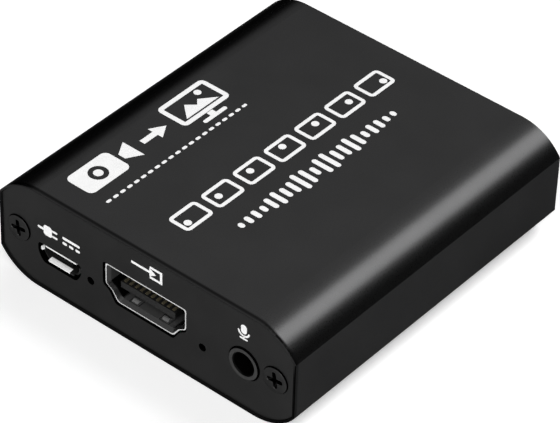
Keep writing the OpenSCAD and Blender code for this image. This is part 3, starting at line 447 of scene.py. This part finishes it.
# painted shade: the power socket's insulator is darker and less glossy than the same black plastic in the
# other sockets
pocketShadeLook = {
    "dark": grey(0.0008), "light": grey(0.0016), "gloss": 0.065,
    "roughness": 0.55, "roughChange": 0.12, "grain": 0.06 * mm, "cloud": 2 * mm,
    "bump": 0.15, "bumpDepth": 0.003 * mm,
}
lensLook = {
    "dark": (0.6, 0.57, 0.5), "light": (0.72, 0.69, 0.62), "gloss": 0.5,
    "roughness": 0.25, "roughChange": 0.2, "grain": 0.1 * mm, "cloud": 1 * mm,
    "bump": 0.05, "bumpDepth": 0.002 * mm,
}
dress(platedMetal("goldFlash", contactLook),
      "input_contacts", "output_contacts", "power_contacts", "data_contacts")
dress(platedMetal("tinnedSpring", springLook), "mic_jack_springs", "sound_jack_springs")
dress(moulded("blackInsulator", insulatorLook), "input_insulator", "output_insulator", "data_insulator")
dress(moulded("shadedPocket", pocketShadeLook), "power_insulator")
dress(moulded("milkyLens", lensLook), "power_led", "signal_led")

# Jacks: both stand equally far from the middle and equally high

micBore = [mount for mount in frame["record"]["mounts"] if mount["name"] == "mic_jack_bore"][0]["pos_m"]
jackLook = {
    # second is painted shade in the bore and on the nose's sides
    "dark": grey(0.04), "light": grey(0.048), "second": grey(0.00065), "gloss": 0.04,
    "roughness": 0.5, "roughChange": 0.12, "grain": 0.07 * mm, "cloud": 2 * mm,
    "bump": 0.12, "bumpDepth": 0.003 * mm,
    "bore": (1.97 * mm, 2.0 * mm),
}


def boreAndWallShade(tree, place):  # painted shade: a jack's bore and the sides of its nose are near black
    x = reckon(tree, "SUBTRACT", reckon(tree, "ABSOLUTE", along(tree, place, "X")), micBore[0])
    z = reckon(tree, "SUBTRACT", along(tree, place, "Z"), micBore[2])
    away = reckon(tree, "SQRT", reckon(tree, "ADD", allOf(tree, x, x), allOf(tree, z, z)))
    return anyOf(tree, falling(tree, away, jackLook["bore"]), cutWalls(tree, place))


dress(moulded("jackNylon", jackLook, second=boreAndWallShade), "mic_jack", "sound_jack")

# Board

boardLook = {
    "dark": (0.004, 0.05, 0.022), "light": (0.008, 0.08, 0.036), "second": (0.02, 0.14, 0.06), "gloss": 0.5,
    "roughness": 0.3, "roughChange": 0.2, "grain": 0.2 * mm, "cloud": 3 * mm,
    "bump": 0.1, "bumpDepth": 0.01 * mm,
    "waveScale": 0.25 / mm, "lines": (0.72, 0.8),
    "fieldScale": 0.22 / mm, "fields": (0.56, 0.57), "fieldStretch": {"X": (1, 0.15, 0), "Y": (0.15, 1, 0)},
}


def boardTraces(tree, place):  # copper lines under the solder mask, in fields
    traces = []
    for axis, stretch in boardLook["fieldStretch"].items():
        inputs = {"Vector": place, "Scale": boardLook["waveScale"], "Distortion": 0.0}
        wave = addNode(tree, "ShaderNodeTexWave", inputs, bands_direction=axis).outputs["Fac"]
        field = noise(tree, stretched(tree, place, stretch), boardLook["fieldScale"], 0.0)
        lines = rising(tree, wave, boardLook["lines"])
        traces.append(allOf(tree, lines, rising(tree, field, boardLook["fields"])))
    return anyOf(tree, *traces)


dress(moulded("greenSolderMask", boardLook, second=boardTraces), "main_board")

# Chips: moulded bodies with tinned leads

chipLook = {
    "dark": grey(0.014), "light": grey(0.022), "second": grey(0.62), "secondMetal": 1.0, "gloss": 0.4,
    "roughness": 0.55, "roughChange": 0.1, "grain": 0.05 * mm, "cloud": 3 * mm,
    "bump": 0.2, "bumpDepth": 0.004 * mm,
    "bodies": {"splitter_chip": (10.02 * mm, 10.02 * mm), "memory_chip": (3.92 * mm, 5.0 * mm),
               "regulators": (6.6 * mm, 3.52 * mm)},
}


def leadsOf(name, body):  # what stands out of the moulded bodies of a chip
    middles = [(low + high) / 2 for low, high in solidsOf(name)]

    def mask(tree, place):
        across, back = along(tree, place, "X"), along(tree, place, "Y")
        return allOf(tree, *[anyOf(tree, beyond(tree, across, middle.x, body[0] / 2),
                                   beyond(tree, back, middle.y, body[1] / 2)) for middle in middles])
    return mask


dress(moulded("chipEpoxy", chipLook), "capture_chip")
for chipName, chipBody in chipLook["bodies"].items():
    dress(moulded(chipName + "Epoxy", chipLook, second=leadsOf(chipName, chipBody)), chipName)

# Cans, choke and small chip parts

canLook = {
    "dark": grey(0.5), "light": grey(0.64), "second": grey(0.012), "secondMetal": 0.0,
    "roughness": 0.3, "roughChange": 0.3, "streak": (1, 1, 0.2), "grain": 0.06 * mm, "cloud": 2 * mm,
    "bump": 0.05, "bumpDepth": 0.002 * mm,
    "markSide": (1.0 * mm, 1.03 * mm), "markTop": (-0.12 * mm, -0.1 * mm), "markHalf": 2.6 * mm,
}
ferriteLook = {
    "dark": grey(0.035), "light": grey(0.055), "gloss": 0.4,
    "roughness": 0.6, "roughChange": 0.1, "grain": 0.1 * mm, "cloud": 1.5 * mm,
    "bump": 0.3, "bumpDepth": 0.01 * mm,
}
ceramicLook = {
    "dark": (0.24, 0.15, 0.07), "light": (0.36, 0.24, 0.13), "second": grey(0.62), "secondMetal": 1.0,
    "gloss": 0.5, "roughness": 0.4, "roughChange": 0.15, "grain": 0.05 * mm, "cloud": 1.2 * mm,
    "bump": 0.1, "bumpDepth": 0.003 * mm, "bare": 0.95 * mm,
}
resistorLook = {
    "dark": grey(0.02), "light": grey(0.035), "second": grey(0.62), "secondMetal": 1.0,
    "gloss": 0.5, "roughness": 0.3, "roughChange": 0.2, "grain": 0.05 * mm, "cloud": 1.2 * mm,
    "bump": 0.1, "bumpDepth": 0.003 * mm, "bare": 0.95 * mm,
}
rowDigits = 6  # rows are told apart to a micrometre


def canMarks(tree, place):  # the dark field on top of each can, on its minus side
    across, back, height = [along(tree, place, axis) for axis in "XYZ"]
    marks = []
    for low, high in solidsOf("can_capacitors"):
        middle = (low + high) / 2
        side = rising(tree, across, [middle.x + edge for edge in canLook["markSide"]])
        top = rising(tree, height, [high.z + edge for edge in canLook["markTop"]])
        near = allOf(tree, within(tree, back, middle.y, canLook["markHalf"]),
                     within(tree, across, middle.x, canLook["markHalf"]))
        marks.append(allOf(tree, side, top, near))
    return anyOf(tree, *marks)


def endCaps(name, bare):  # the tinned ends of chip parts that stand in rows across the board
    rows = sorted({round((low.y + high.y) / 2, rowDigits) for low, high in solidsOf(name)})

    def mask(tree, place):
        back = along(tree, place, "Y")
        return allOf(tree, *[beyond(tree, back, row, bare / 2) for row in rows])
    return mask


dress(platedMetal("drawnCan", canLook), "crystals")
dress(platedMetal("markedCan", canLook, second=canMarks), "can_capacitors")
dress(moulded("ferrite", ferriteLook), "choke")
for finishName, smallLook, smallPart in (("firedCeramic", ceramicLook, "chip_capacitors"),
                                         ("glazedResistor", resistorLook, "chip_resistors")):
    dress(moulded(finishName, smallLook, second=endCaps(smallPart, smallLook["bare"])), smallPart)
print("finishes: every part dressed")


# Pieces made here. Their sizes are in millimetres.

sharpAngle = math.radians(35)
arcSteps = {"cap": 8, "corner": 6, "bow": 20, "disc": 32}


def makePiece(name, work, material):
    bmesh.ops.recalc_face_normals(work, faces=work.faces[:])
    for face in work.faces:
        face.smooth = True
    for edge in work.edges:
        edge.smooth = len(edge.link_faces) == 2 and edge.calc_face_angle(0) < sharpAngle
    mesh = bpy.data.meshes.new(name)
    work.to_mesh(mesh)
    work.free()
    mesh.materials.append(material)
    piece = bpy.data.objects.new(name, mesh)
    bpy.context.scene.collection.objects.link(piece)
    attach(piece, "root")
    return piece


def bridge(work, first, second):
    for i in range(len(first)):
        work.faces.new((first[i - 1], first[i], second[i], second[i - 1]))


def roundArc(centre, radius, start, end, steps):
    turns = [math.radians(start + (end - start) * i / steps) for i in range(steps + 1)]
    return [(centre[0] + radius * math.cos(t), centre[1] + radius * math.sin(t)) for t in turns]


def endPlace(end, x, z, face, scale=1.0):  # end is -1 at the front and 1 at the rear
    return lambda a, b, up: Vector((x - end * scale * a, end * (face + up), z + scale * b)) * mm


# Screws: flat heads with a cross recess, and threaded shanks

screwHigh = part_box("front_screws")[1]
screwLook = {
    # second is painted shade below the face of the head
    "colour": (0.06, 0.06, 0.06), "change": 0.08, "edge": grey(0.2), "second": grey(0.002),
    "roughness": 0.4, "roughChange": 0.12, "grain": 0.08 * mm, "cloud": 1.2 * mm,
    "bump": 0.15, "bumpDepth": 0.004 * mm, "faceSpan": (-0.05 * mm, -0.01 * mm),
    "headRadius": 2.1, "headHeight": 0.995, "edgeRadius": 0.05, "edgeSteps": 4,
    "crossLength": 2.85, "crossWidth": 0.7, "crossDepth": 0.6, "crossTurn": 8.0,
    "floorLength": 0.5, "floorWidth": 0.7,  # shares of the recess's length and width
    "shankRadius": 1.1, "coreRadius": 0.86, "length": 6.0, "tip": 1.0, "tipTaper": 0.55,
    "pitch": 0.8, "turnLevels": 6, "steps": 32,
}
screwAcross = screwHigh.x / mm - screwLook["headRadius"]
screwHeight = middleOf("front_screws").z / mm
screwSeat = screwLook["length"] - screwHigh.y / mm
screwFace = (screwSeat + screwLook["headHeight"]) * mm


def shadeBelowHead(tree, place):  # painted shade: all of a screw but the face of its head is near black, the cross recess and the side of the head among it
    return falling(tree, reach(tree, place), [screwFace + edge for edge in screwLook["faceSpan"]])


def ringOf(work, place, height, radiusAt):
    corners = []
    for i in range(screwLook["steps"]):
        turn = 2 * math.pi * i / screwLook["steps"]
        radius = radiusAt(turn)
        corners.append(work.verts.new(place(radius * math.cos(turn), radius * math.sin(turn), height)))
    return corners


def circle(work, place, radius, height):
    return ringOf(work, place, height, lambda turn: radius)


def crossOutline(work, place, length, width, height):
    corners = []
    arm = [(width / 2, -width / 2)]
    arm += roundArc((length / 2 - width / 2, 0), width / 2, -90, 90, arcSteps["cap"])
    for quarter in range(4):
        turn = math.radians(screwLook["crossTurn"] + 90 * quarter)
        c, s = math.cos(turn), math.sin(turn)
        corners += [work.verts.new(place(c * a - s * b, s * a + c * b, height)) for a, b in arm]
    return corners


def addHead(work, place):  # returns the ring that the shank starts from
    look = screwLook
    radius, top, edge = look["headRadius"], look["headHeight"], look["edgeRadius"]
    profile = [(look["shankRadius"], 0), (radius - edge, 0), (radius, edge)]
    profile += roundArc((radius - edge, top - edge), edge, 0, 90, look["edgeSteps"])
    rings = [circle(work, place, a, b) for a, b in profile]
    length, width = look["crossLength"], look["crossWidth"]
    mouth = crossOutline(work, place, length, width, top)
    floor = crossOutline(work, place, length * look["floorLength"], width * look["floorWidth"],
                         top - look["crossDepth"])
    for first, second in zip(rings, rings[1:]):
        bridge(work, first, second)
    bridge(work, mouth, floor)
    edges = [work.edges.get((loop[i - 1], loop[i])) for loop in (rings[-1], mouth) for i in range(len(loop))]
    bmesh.ops.triangle_fill(work, edges=edges, use_beauty=True)
    work.faces.new(floor)
    return rings[0]


def threadRadius(depth, turn):
    look = screwLook
    straight = look["length"] - look["tip"]
    taper = 1 if depth < straight else 1 - look["tipTaper"] * (depth - straight) / look["tip"]
    phase = (depth / look["pitch"] + turn / (2 * math.pi)) % 1
    rise = 1 - abs(2 * phase - 1)
    return taper * (look["coreRadius"] + (look["shankRadius"] - look["coreRadius"]) * rise)


def addShank(work, place, ring):
    levels = int(round(screwLook["length"] / screwLook["pitch"] * screwLook["turnLevels"]))
    for level in range(1, levels + 1):
        depth = screwLook["length"] * level / levels
        nextRing = ringOf(work, place, -depth, lambda turn: threadRadius(depth, turn))
        bridge(work, nextRing, ring)
        ring = nextRing
    work.faces.new(ring)


blackenedSteel = anodised("blackenedSteel", screwLook, second=shadeBelowHead)
for nodeName, end in (("front_screws", -1), ("rear_screws", 1)):
    screwWork = bmesh.new()
    for side in (-1, 1):
        screwPlace = endPlace(end, side * screwAcross, screwHeight, screwSeat)
        addShank(screwWork, screwPlace, addHead(screwWork, screwPlace))
    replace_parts(makePiece(nodeName + "_fine", screwWork, blackenedSteel), nodeName)
    dress(blackenedSteel, nodeName)
print("screws: heads, recesses and threads made")

# Printed marks: plain pictograms as thin films of white ink.
# A shape is a list of loops, the first one its outside.

inkLook = {
    "dark": grey(0.92), "light": grey(0.97), "gloss": 0.3,
    "roughness": 0.55, "roughChange": 0.1, "grain": 0.05 * mm, "cloud": 1.5 * mm,
    "bump": 0.1, "bumpDepth": 0.003 * mm,
    "film": 0.015, "sunk": 0.005,  # above and below the face
}
topFace = sleeveHigh.z / mm
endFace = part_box("rear_plate")[1].y / mm
smallestCorner = 0.1
barbShare = 0.6  # half the width of an arrow's head, as a share of its length


def stroke(first, second, width):
    turn = math.degrees(math.atan2(second[1] - first[1], second[0] - first[0]))
    return [roundArc(second, width / 2, turn - 90, turn + 90, arcSteps["cap"])
            + roundArc(first, width / 2, turn + 90, turn + 270, arcSteps["cap"])]


def bow(centre, radius, width, start, end):
    caps = [roundArc(centre, radius, turn, turn, 1)[0] for turn in (start, end)]
    loop = roundArc(centre, radius + width / 2, start, end, arcSteps["bow"])
    loop += roundArc(caps[1], width / 2, end, end + 180, arcSteps["corner"])[1:-1]
    loop += roundArc(centre, radius - width / 2, end, start, arcSteps["bow"])
    loop += roundArc(caps[0], width / 2, start + 180, start + 360, arcSteps["corner"])[1:-1]
    return [loop]


def disc(centre, radius):
    return [roundArc(centre, radius, 0, 360, arcSteps["disc"])[:-1]]


def block(centre, size, corner):
    loop = []
    for sideU, sideV, start in ((1, 1, 0), (-1, 1, 90), (-1, -1, 180), (1, -1, 270)):
        middle = (centre[0] + sideU * (size[0] / 2 - corner), centre[1] + sideV * (size[1] / 2 - corner))
        loop += roundArc(middle, corner, start, start + 90, arcSteps["corner"])
    return [loop]


def frameShape(centre, size, corner, width):
    inner = block(centre, (size[0] - 2 * width, size[1] - 2 * width), max(corner - width, smallestCorner))
    return block(centre, size, corner) + inner


def arrow(start, tip, width, head):
    neck, barb = tip - head, head * barbShare
    return [[(start, -width / 2), (neck, -width / 2), (neck, -barb), (tip, 0),
             (neck, barb), (neck, width / 2), (start, width / 2)]]


def bracket(side):  # open towards the middle
    points = [(0.5, 0.95), (2.5, 0.95), (2.5, -0.95), (0.5, -0.95),
              (0.5, -0.6), (2.14, -0.6), (2.14, 0.6), (0.5, 0.6)]
    return [[(side * u, v) for u, v in points]]


def moved(shapes, offset):
    return [[[(u + offset[0], v + offset[1]) for u, v in loop] for loop in shape] for shape in shapes]


def cameraMark():
    middle = (4.2, 2.6)
    body = block(middle, (8.4, 5.2), 1.0) + disc(middle, 1.55)
    lens = [[(9.1, 1.95), (11.6, 0.5), (11.6, 4.7), (9.1, 3.25)]]
    return [body, disc(middle, 0.75), lens]


def screenMark():
    hills = [[(1.5, 1.4), (3.7, 3.9), (5.0, 2.5), (6.0, 3.4), (8.5, 1.4)]]
    return [frameShape((5, 3.2), (10, 5.8), 0.9, 0.8), hills, disc((7.2, 4.4), 0.6),
            block((5, -0.2), (1.2, 0.8), 0.1), stroke((2.9, -0.95), (7.1, -0.95), 0.7)]


# Marks on the top: u runs to the rear and v to the left

topRow = {"x": -13.9, "y": -25.0, "arrowAt": (13.4, 2.6), "screenAt": (20.2, 0), "dots": 21, "dotPitch": 1.45,
          "dotStart": 0.4, "dotLength": 0.45, "dotWidth": 0.5, "dotDrop": -2.7}
filmRow = {"x": 1.5, "y": -22.0, "frames": 7, "pitch": 6.75, "size": (5.6, 4.0), "corner": 0.8, "stroke": 0.6,
           "dot": 0.6, "flight": 1.35, "flightTop": 0.5, "flightFall": 1.1}
waveRow = {"x": 6.0, "y": -16.0, "bars": 22, "pitch": 1.6, "width": 0.85, "low": 1.0, "high": 4.2,
           "beatTurn": 0.9, "beatStart": 0.5, "calm": 0.25, "shortest": 0.05}


def topRowShapes():
    shapes = cameraMark() + moved([arrow(0, 5.2, width=1.0, head=2.4)], topRow["arrowAt"])
    shapes += moved(screenMark(), topRow["screenAt"])
    for i in range(topRow["dots"]):
        u, v = topRow["dotStart"] + i * topRow["dotPitch"], topRow["dotDrop"]
        shapes.append(stroke((u, v), (u + topRow["dotLength"], v), topRow["dotWidth"]))
    return shapes


def filmShapes():
    row = filmRow
    shapes = []
    for i in range(row["frames"]):
        centre = (row["size"][0] / 2 + i * row["pitch"], row["size"][1] / 2)
        shapes.append(frameShape(centre, row["size"], row["corner"], row["stroke"]))
        t = 2 * i / (row["frames"] - 1) - 1  # the dot flies in an arc from frame to frame
        dotMiddle = (centre[0] + row["flight"] * t, centre[1] + row["flightTop"] - row["flightFall"] * t * t)
        shapes.append(disc(dotMiddle, row["dot"]))
    return shapes


def waveShapes():
    row = waveRow
    shapes = []
    for i in range(row["bars"]):
        swell = math.sin(math.pi * (i + 0.5) / row["bars"])
        beat = abs(math.sin(row["beatTurn"] * i + row["beatStart"]))
        height = row["low"] + (row["high"] - row["low"]) * swell * (row["calm"] + (1 - row["calm"]) * beat)
        half = (height - row["width"]) / 2
        u = i * row["pitch"]
        if half > row["shortest"]:
            shapes.append(stroke((u, -half), (u, half), row["width"]))
        else:
            shapes.append(disc((u, 0), row["width"] / 2))
    return shapes


# Marks on the end plates: u runs to the right of someone who looks at the plate, and v up

powerSign = {"over": "power_shell", "shift": 0.0, "height": 11.15, "scale": 1.15}
inputSign = {"over": "input_shell", "shift": 0.45, "height": 14.75, "scale": 1.15}
micSign = {"over": "mic_jack", "shift": -0.2, "height": 14.0, "scale": 1.25}
outputSign = {"over": "output_shell", "shift": 0.0, "height": 14.75, "scale": 1.15}
dataSign = {"over": "data_shell", "shift": 0.0, "height": 14.7, "scale": 1.15}
soundSign = {"over": "sound_jack", "shift": 0.0, "height": 14.0, "scale": 1.25}
signArrow = {"width": 0.36, "head": 1.05}


def powerShapes():
    body = block((-1.9, 0), (1.4, 1.6), 0.4)
    pins = [stroke((-1.05, v), (-0.45, v), 0.32) for v in (0.42, -0.42)]
    cord = stroke((-3.4, 0), (-2.75, 0), 0.36)
    line = stroke((0.75, 0.38), (3.25, 0.38), 0.4)
    dashes = [stroke((u, -0.42), (u + 0.35, -0.42), 0.4) for u in (0.75, 1.83, 2.9)]
    return [body, *pins, cord, line, *dashes]


def inputShapes():
    return [bracket(1), arrow(-2.5, 1.5, **signArrow)]


def micShapes():
    return [stroke((0, 0.1), (0, 0.55), 0.84), bow((0, 0.12), 0.76, 0.24, 195, 345),
            stroke((0, -0.84), (0, -0.78), 0.24), stroke((-0.45, -1.02), (0.45, -1.02), 0.24)]


def outputShapes():
    return [bracket(-1), arrow(-1.5, 2.5, **signArrow)]


def dataShapes():
    return [frameShape((0, 0.2), (2.5, 1.6), 0.25, 0.28), stroke((-1.75, -0.85), (1.75, -0.85), 0.34)]


def soundShapes():
    cups = [stroke((u, -0.25), (u, -0.7), 0.5) for u in (-0.85, 0.85)]
    return [bow((0, 0), 0.95, 0.28, 0, 180)] + cups


def topPlace(row):
    return lambda u, v, up: Vector((row["x"] - v, row["y"] + u, topFace + up)) * mm


def signPlace(end, sign):
    x = middleOf(sign["over"]).x / mm + sign["shift"]
    return endPlace(end, x, sign["height"], endFace, sign["scale"])


def closedEdges(work, corners):
    return [work.edges.new((corners[i - 1], corners[i])) for i in range(len(corners))]


def printMark(name, shapes, place):
    work = bmesh.new()
    for shape in shapes:
        levels = []
        for up in (-inkLook["sunk"], inkLook["film"]):
            loops = [[work.verts.new(place(u, v, up)) for u, v in loop] for loop in shape]
            edges = [edge for corners in loops for edge in closedEdges(work, corners)]
            bmesh.ops.triangle_fill(work, edges=edges, use_beauty=True)
            levels.append(loops)
        for low, high in zip(*levels):
            bridge(work, low, high)
    makePiece(name, work, whiteInk)


whiteInk = moulded("whiteInk", inkLook)
printMark("mark_camera_to_screen", topRowShapes(), topPlace(topRow))
printMark("mark_film", filmShapes(), topPlace(filmRow))
printMark("mark_wave", waveShapes(), topPlace(waveRow))
printMark("mark_power", powerShapes(), signPlace(-1, powerSign))
printMark("mark_input", inputShapes(), signPlace(-1, inputSign))
printMark("mark_mic", micShapes(), signPlace(-1, micSign))
printMark("mark_output", outputShapes(), signPlace(1, outputSign))
printMark("mark_data", dataShapes(), signPlace(1, dataSign))
printMark("mark_sound", soundShapes(), signPlace(1, soundSign))
print("marks: nine films of ink printed")

# Stage. In reflections the floor is painted darker at the left and in front and glows lighter at the right:
# painted shade and painted light that only reflections see.

stageLook = {
    "floorColour": grey(0.93), "floorSize": 6.0, "floorDrop": 0.02 * mm,
    "floorRoughness": 0.9, "floorGloss": 0.1,
    "floorGlow": 0.34,  # seen by the camera only
    "shadeColour": grey(0.2), "leftAcross": (-30 * mm, -26 * mm), "leftBack": (-30 * mm, -29 * mm),
    "frontShade": 0.34, "frontBack": (-43 * mm, -32 * mm),
    "rightLift": (0.136, 0.407), "rightAcross": (27 * mm, 28 * mm), "rightBack": (-25 * mm, 40 * mm),
    "worldGrey": 0.012,
    "panel": {"way": (-0.345, 0.605, 0.717), "away": 2.5, "size": (1.8, 2.25), "radiance": 0.775, "roll": 0},
    "strip": {"way": (0.28, 0.594, 0.755), "away": 2.5, "size": (1.07, 1.75), "radiance": 5.47, "roll": 38},
    "fill": {"way": (0.35, -0.68, 0.645), "away": 1.2, "size": (1.0, 1.0), "radiance": 4.56, "roll": 0},
}


def dressFloor(tree, shader):
    look = stageLook
    place = objectPlace(tree)
    across, back = along(tree, place, "X"), along(tree, place, "Y")
    rays = addNode(tree, "ShaderNodeLightPath").outputs
    mirrored, seen = rays["Is Glossy Ray"], rays["Is Camera Ray"]
    left = allOf(tree, falling(tree, across, look["leftAcross"]), rising(tree, back, look["leftBack"]))
    front = ramp(tree, back, look["frontShade"], 0, look["frontBack"])
    shade = allOf(tree, mirrored, anyOf(tree, left, front))
    paper = blendColours(tree, shade, look["floorColour"], look["shadeColour"])
    tree.links.new(paper, shader.inputs["Base Color"])
    shader.inputs["Roughness"].default_value = look["floorRoughness"]
    shader.inputs["Specular IOR Level"].default_value = look["floorGloss"]
    # painted light: a glow on the floor at the right that only reflections see
    lift = allOf(tree, mirrored, rising(tree, across, look["rightAcross"]),
                 ramp(tree, back, *look["rightLift"], look["rightBack"]))
    glow = reckon(tree, "ADD", allOf(tree, seen, look["floorGlow"]), lift)
    tree.links.new(glow, shader.inputs["Emission Strength"])
    shader.inputs["Emission Color"].default_value = (*grey(1), 1)


def makeFloor():
    half, low = stageLook["floorSize"] / 2, -stageLook["floorDrop"]
    corners = [(x, y, low) for x, y in ((-half, -half), (half, -half), (half, half), (-half, half))]
    mesh = bpy.data.meshes.new("floor")
    mesh.from_pydata(corners, [], [(0, 1, 2, 3)])
    floor = bpy.data.objects.new("floor", mesh)
    bpy.context.scene.collection.objects.link(floor)
    material, tree, shader = startMaterial("palePaper")
    dressFloor(tree, shader)
    floor.data.materials.append(material)


def makeSoftbox(name, look):
    light = bpy.data.lights.new(name, "AREA")
    light.shape = "RECTANGLE"
    light.size, light.size_y = look["size"]
    light.energy = look["radiance"] * math.pi * look["size"][0] * look["size"][1]
    lamp = bpy.data.objects.new(name, light)
    way = Vector(look["way"]).normalized()
    lamp.location = way * look["away"]
    lamp.rotation_mode = "QUATERNION"
    roll = Quaternion((0, 0, 1), math.radians(look["roll"]))
    lamp.rotation_quaternion = way.to_track_quat("Z", "Y") @ roll
    bpy.context.scene.collection.objects.link(lamp)


def makeWorld():
    world = bpy.data.worlds.new("studio")
    world.use_nodes = True
    background = world.node_tree.nodes["Background"]
    background.inputs["Color"].default_value = (*grey(stageLook["worldGrey"]), 1)
    bpy.context.scene.world = world


makeFloor()
for softbox in ("panel", "strip", "fill"):
    makeSoftbox(softbox, stageLook[softbox])
makeWorld()
print("stage: floor and soft light set")

# Camera

cameraLook = {
    "place": (229.497, -283.193, 312.328),  # millimetres from the middle of the base
    "turn": (50.0011, -1.414117, 40.229824),  # degrees round X, Y and Z
    "lens": 211.75, "sensor": 36.0, "clip": (0.01, 20),
}


def makeCamera():
    data = bpy.data.cameras.new("camera")
    data.sensor_fit = "HORIZONTAL"
    data.sensor_width = cameraLook["sensor"]
    data.lens = cameraLook["lens"]
    data.clip_start, data.clip_end = cameraLook["clip"]
    camera = bpy.data.objects.new("camera", data)
    bpy.context.scene.collection.objects.link(camera)
    turn = Euler([math.radians(angle) for angle in cameraLook["turn"]])
    camera.matrix_world = Matrix.Translation(Vector(cameraLook["place"]) * mm) @ turn.to_matrix().to_4x4()
    bpy.context.scene.camera = camera


makeCamera()
bpy.context.scene.view_settings.view_transform = "Standard"
print("camera: set")
